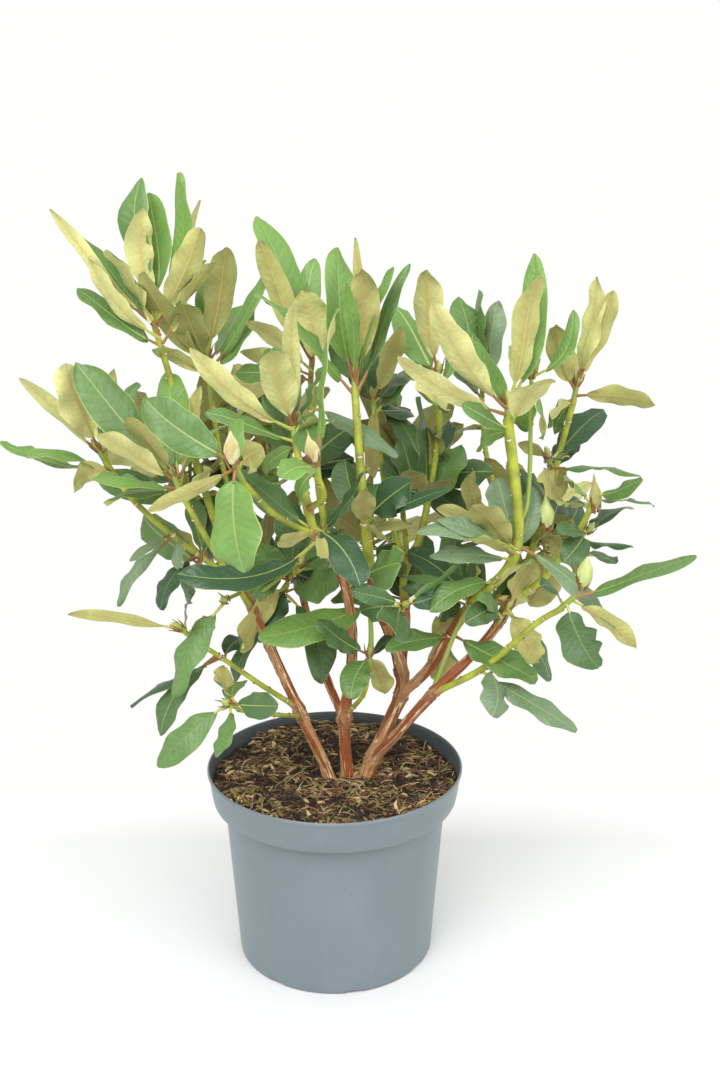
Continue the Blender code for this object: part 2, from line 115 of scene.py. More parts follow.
def pick(item: Item, test: Callable[[Vector], bool]) -> None:
    """Select only the vertices of an open object whose place passes a test.

    Args:
        item: The object, in edit mode.
        test: A function of a vertex's place that says whether it is wanted.
    """
    bpy.ops.mesh.select_all(action="DESELECT")
    shape = bmesh.from_edit_mesh(item.data)
    for vertex in shape.verts:
        vertex.select = bool(test(vertex.co))
    shape.select_flush(True)
    shape.select_flush(False)
    bmesh.update_edit_mesh(item.data)


def disc(name: str, corners: int, radius: float, height: float, fill: str) -> Item:
    """Add a level circle round the axis.

    Args:
        name: The object's name.
        corners: Number of its corners.
        radius: Its radius.
        height: Its height.
        fill: How it is filled, as the operator names it.

    Returns:
        The circle's object.
    """
    deselect()
    bpy.ops.mesh.primitive_circle_add(vertices=corners, radius=radius, fill_type=fill,
                                      location=(0, 0, height))
    item = bpy.context.active_object
    item.name = name
    bpy.ops.object.transform_apply(location=True, rotation=True, scale=True)
    return item


def grow_ring(ratio: float, lift: float, height: float, keep: float = 1.0) -> None:
    """Extrude the selected ring by a lift, then resize it about the axis at a height."""
    bpy.ops.mesh.extrude_region_move(TRANSFORM_OT_translate={"value": (0.0, 0.0, lift)})
    bpy.ops.transform.resize(value=(ratio, ratio, keep), center_override=(0, 0, height))


def close_up() -> None:
    """Turn all faces of the open object outwards and leave edit mode."""
    bpy.ops.mesh.select_all(action="SELECT")
    bpy.ops.mesh.normals_make_consistent(inside=False)
    bpy.ops.object.mode_set(mode="OBJECT")


def finish_piece(item: Item, slot: str, *nodes: str) -> None:
    """Settle a piece at the origin, smooth it, and tie it to the plant.

    Args:
        item: The piece, in object mode.
        slot: Not used; the record's material slot.
        nodes: The CAD nodes it stands for.
    """
    hold(item)
    bpy.ops.object.transform_apply(location=True, rotation=True, scale=True)
    bpy.ops.object.shade_smooth_by_angle(angle=SMOOTH_ANGLE)
    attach(item, BODY)
    if nodes:
        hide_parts(*nodes)
    LOG.info("%s: %d faces", item.name, len(item.data.polygons))


def new_mesh_object(name: str, points: Iterable, faces: list[tuple]) -> Item:
    """Make an object from plain lists of points and faces and link it to the scene.

    Args:
        name: The object's name.
        points: Its vertices.
        faces: Its faces.

    Returns:
        The object.
    """
    mesh = bpy.data.meshes.new(name)
    mesh.from_pydata([tuple(point) for point in points], [], faces)
    item = bpy.data.objects.new(name, mesh)
    bpy.context.scene.collection.objects.link(item)
    return item


def store(item: Item, name: str, values: np.ndarray) -> None:
    """Store one vector or one number for each vertex.

    Args:
        item: The mesh object.
        name: The attribute's name.
        values: An array of shape (vertices, 3) or (vertices,).
    """
    kind, key = ("FLOAT_VECTOR", "vector") if values.ndim == 2 else ("FLOAT", "value")
    attribute = item.data.attributes.new(name, kind, "POINT")
    attribute.data.foreach_set(key, np.ascontiguousarray(values, np.float32).ravel())


class Pile:
    """Copies of small shapes gathered into one mesh, with a finish for each face."""

    def __init__(self) -> None:
        """Start with nothing in the pile."""
        self.points: list[np.ndarray] = []
        self.places: list[np.ndarray] = []
        self.faces: list[tuple[int, ...]] = []
        self.finishes: list[int] = []
        self.count = 0

    def add(self, points: list, faces: list[tuple], finishes: int | list[int],
            places: np.ndarray | None = None) -> None:
        """Add one shape.

        Args:
            points: Its vertices.
            faces: Its faces, numbered from its own first vertex.
            finishes: One finish number for each face, or one for all.
            places: A vector for each vertex that its material reads.
        """
        self.points.append(np.array(points, float))
        self.places.append(np.zeros((len(points), 3)) if places is None else places)
        self.faces.extend(tuple(self.count + corner for corner in face) for face in faces)
        self.finishes.extend([finishes] * len(faces) if isinstance(finishes, int) else finishes)
        self.count += len(points)

    def build(self, name: str, finishes: tuple, places: str = "") -> Item:
        """Join the pile into one object.

        Args:
            name: The object's name.
            finishes: The finishes that the finish numbers point into.
            places: Name of the attribute for the stored vectors, if they are wanted.

        Returns:
            The joined object. Finishes that no face uses are left out.
        """
        item = new_mesh_object(name, np.concatenate(self.points), self.faces)
        used = sorted(set(self.finishes))
        for number in used:
            item.data.materials.append(finishes[number].material())
        order = {number: index for index, number in enumerate(used)}
        numbers = np.array([order[number] for number in self.finishes], np.int32)
        item.data.polygons.foreach_set("material_index", numbers)
        if places:
            store(item, places, np.concatenate(self.places))
        item.data.update()
        return item


def around(pair: Pair, angle: float) -> Vector:
    """The direction at an angle from the first of a pair towards the second."""
    return pair[0] * cos(angle) + pair[1] * sin(angle)


def pair_across(shoot: Vector) -> Pair:
    """Two directions across a shoot."""
    across = shoot.orthogonal().normalized()
    return across, shoot.cross(across)


def carried_frames(route: list[Vector]) -> list[Pair]:
    """Two directions across a route at each of its points, carried along without twist.

    Args:
        route: The points.

    Returns:
        A pair of directions for each.
    """
    frames = []
    across = None
    for index in range(len(route)):
        ahead, behind = route[min(index + 1, len(route) - 1)], route[max(index - 1, 0)]
        along = (ahead - behind).normalized()
        if across is None:
            across = along.orthogonal().normalized()
        across = (across - along * across.dot(along)).normalized()
        frames.append((across.copy(), along.cross(across)))
    return frames


def bands(rings: int, sides: int) -> list[tuple]:
    """Faces between rings of corners that follow each other, ring by ring."""
    return [(low + side, low + (side + 1) % sides, low + sides + (side + 1) % sides,
             low + sides + side)
            for low in range(0, (rings - 1) * sides, sides) for side in range(sides)]


def tube(route: list[Vector], radii: list[float], sides: int) -> tuple[list, list]:
    """A closed tube along a route, its rings turned as little as can be.

    Args:
        route: The middle of each ring.
        radii: The radius of each ring.
        sides: Corners of a ring.

    Returns:
        The vertices, ring by ring and then the two ends, and the faces.
    """
    points = [centre + around(pair, 2.0 * pi * side / sides) * radius
              for pair, centre, radius in zip(carried_frames(route), route, radii)
              for side in range(sides)]
    faces = bands(len(route), sides)
    foot, top, last = len(points), len(points) + 1, (len(route) - 1) * sides
    points += [route[0], route[-1]]
    faces += [(foot, (side + 1) % sides, side) for side in range(sides)]
    faces += [(top, last + side, last + (side + 1) % sides) for side in range(sides)]
    return points, faces


def smooth_route(stops: list[Vector], step: float) -> list[Vector]:
    """Points about a step apart on a smooth curve through some stops.

    Args:
        stops: Places the curve passes.
        step: Spacing of the points.

    Returns:
        The points, both ends among them.
    """
    ends = [stops[0] * 2 - stops[1], *stops, stops[-1] * 2 - stops[-2]]
    route = []
    for before, start, end, after in zip(ends, ends[1:], ends[2:], ends[3:]):
        steps = max(1, round((end - start).length / step))
        for number in range(steps):
            t = number / steps
            pull = start * 2 + (end - before) * t
            bend = (before * 2 - start * 5 + end * 4 - after) * t * t
            close = (start * 3 - before - end * 3 + after) * t ** 3
            route.append((pull + bend + close) * 0.5)
    return route + [stops[-1].copy()]


def read_places(table: str) -> list[Vector]:
    """Places from a table of millimetres with a comma between them."""
    return [Vector([float(number) / 1000.0 for number in place.split()])
            for place in table.split(",")]


def ease(low: float, high: float, value: float) -> float:
    """Share from 0 to 1 of the way from low to high, eased at both ends."""
    share = min(max((value - low) / (high - low), 0.0), 1.0)
    return share * share * (3.0 - 2.0 * share)


# --- Finishes ---


class Wiring:
    """A node tree being wired, for a material or for a group of nodes.

    Where a method takes a value, a socket is linked and anything else is set.
    """

    def __init__(self, tree: Tree) -> None:
        """Keep the tree that the nodes go into, and its shader."""
        self.tree, self.shader = tree, tree.nodes.get("Principled BSDF")

    def feed(self, node: Node, name: str | int, value: Value) -> None:
        """Lead a value into one input of a node.

        Args:
            node: The node.
            name: The input's name or number.
            value: A socket, a number, a vector or a colour.
        """
        socket = node.inputs[name]
        if isinstance(value, bpy.types.NodeSocket):
            self.tree.links.new(value, socket)
        else:
            socket.default_value = (*value, 1.0) if socket.type == "RGBA" else value

    def node(self, kind: str, values: dict | None = None, **settings) -> Node:
        """Add a node.

        Args:
            kind: The node's type name, without the word ShaderNode before it.
            values: Inputs and the value of each.
            settings: Properties of the node.

        Returns:
            The node.
        """
        node = self.tree.nodes.new("ShaderNode" + kind)
        for name, value in settings.items():
            setattr(node, name, value)
        for name, value in (values or {}).items():
            self.feed(node, name, value)
        return node

    def math(self, operation: str, first: Value, second: Value = 0.0) -> Socket:
        """Return the result of a math node."""
        return self.node("Math", {0: first, 1: second}, operation=operation).outputs[0]

    def plus(self, first: Value, second: Value) -> Socket:
        """Return the sum of two values."""
        return self.math("ADD", first, second)

    def times(self, first: Value, second: Value) -> Socket:
        """Return the product of two values."""
        return self.math("MULTIPLY", first, second)

    def ramp(self, value: Value, low: float, high: float, to_low: float = 0.0,
             to_high: float = 1.0) -> Socket:
        """Map a range of a value onto another, clamped."""
        return self.node("MapRange", {"Value": value, "From Min": low, "From Max": high,
                                      "To Min": to_low, "To Max": to_high}).outputs[0]

    def tint(self, share: Value, first: Value, second: Value) -> Socket:
        """Mix two colours by a share."""
        return self.node("Mix", {0: share, 6: first, 7: second}, data_type="RGBA").outputs[2]

    def noise(self, vector: Socket, scale: Value, detail: float = 2.0,
              rough: float = 0.55) -> Socket:
        """Return a noise pattern."""
        return self.node("TexNoise", {"Vector": vector, "Scale": scale, "Detail": detail,
                                      "Roughness": rough}).outputs["Fac"]

    def cells(self, vector: Socket, scale: float) -> Socket:
        """Return the distance from the middles of an uneven net's cells."""
        return self.node("TexVoronoi", {"Vector": vector, "Scale": scale}).outputs["Distance"]

    def stretched(self, vector: Socket, scale: Place) -> Socket:
        """Stretch a vector along its axes."""
        return self.node("VectorMath", {0: vector, 1: scale}, operation="MULTIPLY").outputs[0]

    def place(self) -> Socket:
        """Return the place on the object."""
        return self.node("TexCoord").outputs["Object"]

    def own(self, name: str, output: str = "Fac") -> Socket:
        """Return an attribute of the mesh."""
        return self.node("Attribute", attribute_name=name).outputs[output]

    def grain(self, vector: Socket, fine: float, slow: float) -> tuple[Socket, Socket]:
        """Return the height and the mask of the shared grain, at a fine and a slow scale."""
        return tuple(self.node("Group", {"Vector": vector, "Grain": fine, "Cloud": slow},
                               node_tree=grain_group()).outputs)

    def dress(self, colour: Value, roughness: Value, height: Socket, strength: float,
              depth: float, gloss: float = 0.5) -> None:
        """Dress the tree's own shader.

        Args:
            colour: Its colour.
            roughness: Its roughness.
            height: The height of its relief.
            strength: The relief's strength.
            depth: The relief's depth, in metres.
            gloss: Its specular level.
        """
        bump = self.node("Bump", {"Strength": strength, "Distance": depth, "Height": height})
        for name, value in (("Base Color", colour), ("Roughness", roughness),
                            ("Specular IOR Level", gloss), ("Normal", bump.outputs[0])):
            self.feed(self.shader, name, value)


def group(name: str, inputs: dict, wire: Callable[..., dict]) -> Tree:
    """Make a group of shader nodes once.

    Args:
        name: The group's name.
        inputs: Input names, each with a starting number, or None for a vector.
        wire: A function of the wiring and the input sockets that returns the outputs by name.

    Returns:
        The group.
    """
    tree = bpy.data.node_groups.get(name)
    if tree:
        return tree
    tree = bpy.data.node_groups.new(name, "ShaderNodeTree")
    for label, value in inputs.items():
        kind = "NodeSocketVector" if value is None else "NodeSocketFloat"
        socket = tree.interface.new_socket(label, in_out="INPUT", socket_type=kind)
        if value is not None:
            socket.default_value = value
    start, end = tree.nodes.new("NodeGroupInput"), tree.nodes.new("NodeGroupOutput")
    outputs = wire(Wiring(tree), *[start.outputs[label] for label in inputs])
    for label, socket in outputs.items():
        tree.interface.new_socket(label, in_out="OUTPUT", socket_type="NodeSocketFloat")
        tree.links.new(socket, end.inputs[label])
    return tree


def grain_group() -> Tree:
    """A fine grain over a slow unevenness, as one height and one mask."""

    def wire(net: Wiring, vector: Socket, grain: Socket, cloud: Socket) -> dict:
        """Wire the group."""
        slow = net.noise(vector, cloud, 2.0, 0.5)
        height = net.plus(net.times(net.noise(vector, grain, 3.0, 0.6), 0.4), slow)
        return {"Height": height, "Mask": net.ramp(slow, 0.32, 0.68)}

    return group("uneven_grain", {"Vector": None, "Grain": 400.0, "Cloud": 40.0}, wire)


def vein_group() -> Tree:
    """Side veins of a leaf: lines that slant forward from the midrib to the margin.

    The vector it reads has the share along the blade, the share across it from -1 to 1, and a
    number of the leaf's own.
    """

    def wire(net: Wiring, place: Socket, veins: Socket) -> dict:
        """Wire the group.

        Args:
            net: The group's wiring.
            place: The place on the blade.
            veins: Number of veins along the blade.

        Returns:
            The outputs by name.
        """
        along, across, own = net.node("SeparateXYZ", {0: place}).outputs
        side = net.math("ABSOLUTE", across)
        slant = net.times(net.math("POWER", side, 1.35), -0.15)
        waver = net.noise(net.stretched(place, (9.0, 2.2, 30.0)), 1.0)
        slant = net.plus(slant, net.times(waver, 0.075))
        offset = net.times(net.math("GREATER_THAN", across, 0.0), 0.035)
        phase = net.plus(net.plus(net.plus(along, slant), offset), own)
        saw = net.math("FRACT", net.times(phase, veins))
        ridge = net.math("ABSOLUTE", net.math("SUBTRACT", saw, 0.5))
        line = net.times(net.ramp(ridge, 0.0, 0.16, 1.0, 0.0), net.ramp(side, 0.62, 0.98, 1.0, 0.0))
        return {"Pillow": net.ramp(ridge, 0.0, 0.5), "Line": line}

    return group("leaf_veins", {"Place": None, "Veins": 11.0}, wire)


def lifted(colour: Colour, lift: float) -> Colour:
    """A colour made lighter or darker by a factor."""
    return tuple(min(part * lift, 1.0) for part in colour)


@dataclass(frozen=True)
class Finish:
    """A finish with a name. Each kind of finish wires its own shader."""

    name: str

    def material(self) -> bpy.types.Material:
        """Return the finish's material, wired when it is first asked for."""
        material = bpy.data.materials.get(self.name)
        if material is None:
            material = bpy.data.materials.new(self.name)
            material.use_nodes = True
            self.wire(Wiring(material.node_tree))
        return material

    def wire(self, net: Wiring) -> None:
        """Wire the shader."""


@dataclass(frozen=True)
class PlainFinish(Finish):
    """A finish of one colour with a fine grain in its relief and its gloss."""

    colour: Colour
    roughness: float = 0.5
    grain: float = 900.0
    depth: float = 0.0002

    def wire(self, net: Wiring) -> None:
        """Wire the shader.

        Args:
            net: The wiring of its material.
        """
        height, mask = net.grain(net.place(), self.grain, 120.0)
        rough = net.ramp(mask, 0.0, 1.0, self.roughness - 0.07, self.roughness + 0.07)
        net.dress(self.colour, rough, height, 0.5, self.depth)


@dataclass(frozen=True)
class BladeFinish(Finish):
    """One side of a leaf blade: its green, its veins, its waxy or felted gloss and its blemishes."""

    colour: Colour
    vein: Colour
    roughness: float = 0.4
    vein_share: float = 0.20     # how far the side veins stand out in colour
    pillow: float = 0.00022      # how far the blade swells between its side veins, in metres
    blemish: float = 0.0         # share of the blade's fine spots
    gloss: float = 0.5
    flush: float = 0.0           # how far the midrib's colour spreads over the blade
    mottle: float = 0.14         # how much lighter and darker the blade is in patches
    spot: Colour = (0.075, 0.040, 0.018)

    def wire(self, net: Wiring) -> None:
        """Wire the shader.

        Args:
            net: The wiring of its material.
        """
        place, own = net.place(), net.own("leaf_place", "Vector")
        veins = net.node("Group", {"Place": own}, node_tree=vein_group()).outputs
        height, mask = net.grain(place, 700.0, 55.0)
        swell = net.ramp(net.cells(place, 330.0), 0.1, 0.75, 1.0, 0.0)
        _, across, number = net.node("SeparateXYZ", {0: own}).outputs
        patch = net.plus(net.times(mask, 0.55), net.times(number, 0.45))
        green = net.tint(patch, lifted(self.colour, 1.0 - self.mottle),
                         lifted(self.colour, 1.0 + self.mottle))
        green = net.tint(net.times(swell, 0.32), green, lifted(self.colour, 0.70))
        line = net.times(veins["Line"], self.vein_share)
        if self.flush:
            near = net.ramp(net.math("ABSOLUTE", across), 0.0, 0.55, self.flush, 0.0)
            line = net.plus(line, near)
        green = net.tint(line, green, self.vein)
        if self.blemish:
            dots = net.ramp(net.cells(place, 95.0), 0.10, 0.19, 1.0, 0.0)
            where = net.ramp(net.noise(place, 22.0), 0.56, 0.63)
            share = net.times(net.times(dots, where), self.blemish)
            green = net.tint(share, green, self.spot)
        rough = net.ramp(mask, 0.0, 1.0, self.roughness - 0.06, self.roughness + 0.08)
        height = net.plus(net.times(height, 0.9), net.times(swell, 0.9))
        height = net.plus(height, veins["Pillow"])
        net.dress(green, rough, height, 0.8, self.pillow, self.gloss)


@dataclass(frozen=True)
class BarkFinish(Finish):
    """Bark that is brown and flaking when old and smooth and green when young, its green broken by
    patches of painted shade.

    It reads three attributes: the straightened place on the limb, how young the bark is there
    and how near a knobby fork is.
    """

    red: Colour = (0.32, 0.090, 0.029)
    # darker where the bark's relief sinks: partly the bark's own dark streaks, partly painted shade in
    # its cracks
    deep: Colour = (0.075, 0.024, 0.011)
    tan: Colour = (0.50, 0.262, 0.118)
    flake: Colour = (0.86, 0.66, 0.38)
    knob: Colour = (0.36, 0.200, 0.092)
    young: Colour = (0.43, 0.47, 0.052)
    # painted shade: a darker copy of the young green, laid in slow patches over the green bark
    painted_shade_green: Colour = (0.25, 0.285, 0.040)
    speck: Colour = (0.20, 0.13, 0.035)
    young_knob: Colour = (0.26, 0.16, 0.05)

    def wire(self, net: Wiring) -> None:
        """Wire the shader.

        Args:
            net: The wiring of its material.
        """
        straight = net.own("limb_place", "Vector")
        youth, knob = net.own("youth"), net.own("knob")
        fibres = net.noise(net.stretched(straight, (1.0, 1.0, 0.07)), 900.0, 3.0, 0.6)
        slivers = net.noise(net.stretched(straight, (1.0, 1.0, 0.045)), 560.0, 2.0, 0.5)
        bands = net.noise(net.stretched(straight, (1.0, 1.0, 0.10)), 150.0, 2.0, 0.5)
        clouds = net.noise(straight, 60.0, 2.0)
        brown = net.tint(net.ramp(bands, 0.47, 0.55), self.red, self.tan)
        # darker in the low fibres, where the relief sinks: partly dark bark, partly painted shade in the
        # cracks
        brown = net.tint(net.ramp(fibres, 0.34, 0.47, 0.75, 0.0), brown, self.deep)
        rim = net.ramp(net.math("ABSOLUTE", net.math("SUBTRACT", bands, 0.52)),
                       0.008, 0.016, 1.0, 0.0)
        peeled = net.math("MAXIMUM", net.ramp(slivers, 0.625, 0.645), rim)
        peeled = net.times(peeled, net.ramp(clouds, 0.40, 0.52))
        brown = net.tint(peeled, brown, self.flake)
        crust = net.times(knob, net.ramp(net.noise(straight, 420.0, 3.0), 0.40, 0.56, 0.05, 0.85))
        brown = net.tint(crust, brown, self.knob)
        # the young bark's green shifts in slow patches towards painted shade
        green = net.tint(net.ramp(clouds, 0.36, 0.62), self.painted_shade_green, self.young)
        specks = net.ramp(net.noise(straight, 800.0, 1.0), 0.64, 0.70, 0.0, 0.7)
        green = net.tint(specks, green, self.speck)
        green = net.tint(net.times(knob, 0.45), green, self.young_knob)
        edge = net.plus(youth, net.times(net.math("SUBTRACT", bands, 0.5), 0.9))
        share = net.ramp(edge, 0.38, 0.62)
        skin = net.plus(net.plus(net.times(fibres, 0.9), net.times(peeled, 0.7)), crust)
        height = net.node("Mix", {0: share, 2: skin, 3: net.times(fibres, 0.14)},
                          data_type="FLOAT").outputs[0]
        net.dress(net.tint(share, brown, green), net.ramp(share, 0.0, 1.0, 0.66, 0.42), height,
                  0.8, 0.0009, 0.35)


@dataclass(frozen=True)
class PlasticFinish(Finish):
    """Moulded plastic with a soft gloss, faint clouding, fine grain and a few specks of peat."""

    colour: Colour
    roughness: float
    speck: Colour = (0.06, 0.05, 0.04)

    def wire(self, net: Wiring) -> None:
        """Wire the shader.

        Args:
            net: The wiring of its material.
        """
        place = net.place()
        height, mask = net.grain(place, 1400.0, 17.0)
        grey = net.tint(mask, lifted(self.colour, 0.95), lifted(self.colour, 1.06))
        drawn = net.noise(net.stretched(place, (1.0, 1.0, 0.12)), 160.0, 2.0)
        grey = net.tint(net.ramp(drawn, 0.45, 0.75, 0.0, 0.10), grey, lifted(self.colour, 1.35))
        dots = net.ramp(net.cells(place, 140.0), 0.055, 0.085, 1.0, 0.0)
        where = net.ramp(net.noise(place, 31.0), 0.57, 0.62)
        rough = net.ramp(mask, 0.0, 1.0, self.roughness - 0.04, self.roughness + 0.06)
        grey = net.tint(net.times(dots, where), grey, self.speck)
        net.dress(grey, rough, height, 0.25, 0.0002)


@dataclass(frozen=True)
class PeatFinish(Finish):
    """Dark crumbly peat, lighter where it has dried."""

    wet: Colour = (0.028, 0.018, 0.011)
    dry: Colour = (0.105, 0.066, 0.038)

    def wire(self, net: Wiring) -> None:
        """Wire the shader.

        Args:
            net: The wiring of its material.
        """
        place = net.place()
        crumbs = net.noise(place, 420.0, 5.0, 0.7)
        clods = net.noise(place, 90.0, 3.0, 0.6)
        share = net.times(net.ramp(crumbs, 0.40, 0.66), net.ramp(clods, 0.30, 0.65, 0.25, 1.0))
        net.dress(net.tint(share, self.wet, self.dry), net.ramp(crumbs, 0.3, 0.7, 0.98, 0.82),
                  net.plus(crumbs, clods), 1.0, 0.003)


# --- Pot and peat ---


@dataclass
class Pot:
    """A round nursery pot: a tapered body under a wider band with a rounded lip."""

    height: float = 0.180
    rim_radius: float = 0.115
    band_height: float = 0.031
    band_foot_radius: float = 0.110
    body_top_radius: float = 0.100
    base_radius: float = 0.0893
    wall: float = 0.0017
    floor: float = 0.004
    corner: float = 0.0018
    corners_round: int = 192
    notch_count: int = 8
    notch_half_angle: float = radians(5.0)
    notch_height: float = 0.0016
    finishes: tuple[PlasticFinish, ...] = (
        PlasticFinish("pot_plastic_grey", (0.160, 0.195, 0.214), 0.34),
        # painted shade: the outer grey darkened, for the inside of the pot
        PlasticFinish("pot_plastic_inside_shade", (0.088, 0.106, 0.115), 0.5))

    def inner_radius(self, height: float) -> float:
        """Inner radius of the band at a height."""
        share = (height - self.height + self.band_height) / self.band_height
        return self.band_foot_radius - self.wall + share * (self.rim_radius
                                                            - self.band_foot_radius)

    def profile(self) -> list[tuple[float, float]]:
        """Radius and height of each ring, from the underside over the lip to the inner floor."""
        top, foot, wall = self.height, self.height - self.band_height, self.wall
        base, body, band, rim = (self.base_radius, self.body_top_radius, self.band_foot_radius,
                                 self.rim_radius)
        corner, lip, inner = self.corner, wall * 0.9, self.inner_radius
        return [
            (base - 3.0 * corner, 0.0006), (base - 2.0 * corner, 0.0),
            (base - corner * 0.6, 0.0), (base - corner * 0.15, corner * 0.35),
            (base + 0.0001, corner), (base + 0.0004, 0.006), (base + 0.0016, 0.024),
            (0.5 * (base + body), 0.5 * foot), (body - 0.0008, foot - 0.012),
            (body - 0.0002, foot - 0.0026), (body + 0.0004, foot - 0.0008),
            (body + 0.0020, foot), (band - 0.0022, foot + 0.0001),
            (band - 0.0006, foot + 0.0007), (band + 0.0002, foot + 0.0024),
            (band + 0.0018, foot + 0.0110), (rim - 0.0016, top - 0.0066),
            (rim - 0.0009, top - 0.0040), (rim, top - 0.0030), (rim, top - 0.0012),
            (rim - lip * 0.35, top - 0.0002), (rim - lip * 0.75, top),
            (inner(top) - 0.0001, top - 0.0006), (inner(top - 0.004), top - 0.004),
            (inner(foot + 0.004), foot + 0.004), (inner(foot + wall), foot + wall),
            (body - wall, foot + wall), (base - wall + 0.001, self.floor + 0.004),
            (base - wall - 0.003, self.floor),
        ]

    def build(self) -> None:
        """Build the pot, ring by ring from its underside."""
        rings = self.profile()
        foot_radius, foot_height = rings[0]
        pot = disc("pot_shell", self.corners_round, foot_radius, foot_height, "NOTHING")
        edit(pot)
        for (before, low), (after, high) in zip(rings, rings[1:]):
            grow_ring(after / before, high - low, high)
        self.close_ring()
        pick(pot, lambda place: abs(place.z - foot_height) < 1e-5
             and abs(place.xy.length - foot_radius) < 1e-4)
        self.close_ring()
        close_up()
        self.notch(pot)
        self.dress(pot)
        finish_piece(pot, "pot_plastic", "pot")

    def close_ring(self) -> None:
        """Fill the selected ring with a face that has a smaller face inside it."""
        bpy.ops.mesh.edge_face_add()
        bpy.ops.mesh.inset(thickness=0.03)

    def notch(self, pot: Item) -> None:
        """Lift the base edge at the drain notches.

        Args:
            pot: The pot's object.
        """
        for vertex in pot.data.vertices:
            place = vertex.co
            if place.z > self.corner * 1.2 or place.xy.length < self.base_radius - 0.006:
                continue
            pitch = 2.0 * pi / self.notch_count
            off = abs((math.atan2(place.y, place.x) + 0.2) % pitch - 0.5 * pitch)
            place.z += self.notch_height * (1.0 - ease(0.6, 1.0, off / self.notch_half_angle))

    def dress(self, pot: Item) -> None:
        """Give the pot its outer finish, and a darker copy of it on the inner wall, ledge and floor as
        painted shade.

        Args:
            pot: The pot's object.
        """
        for finish in self.finishes:
            pot.data.materials.append(finish.material())
        for face in pot.data.polygons:
            centre = face.center
            # inward faces and upward faces inside the pot take the darker copy, painted shade
            inward = face.normal.xy.dot(centre.xy) < 0.0 and centre.z < self.height - 0.0015
            shelf = face.normal.z > 0.7 and centre.z < self.height - 0.01
            face.material_index = 1 if (inward or shelf) and centre.z > 0.003 else 0


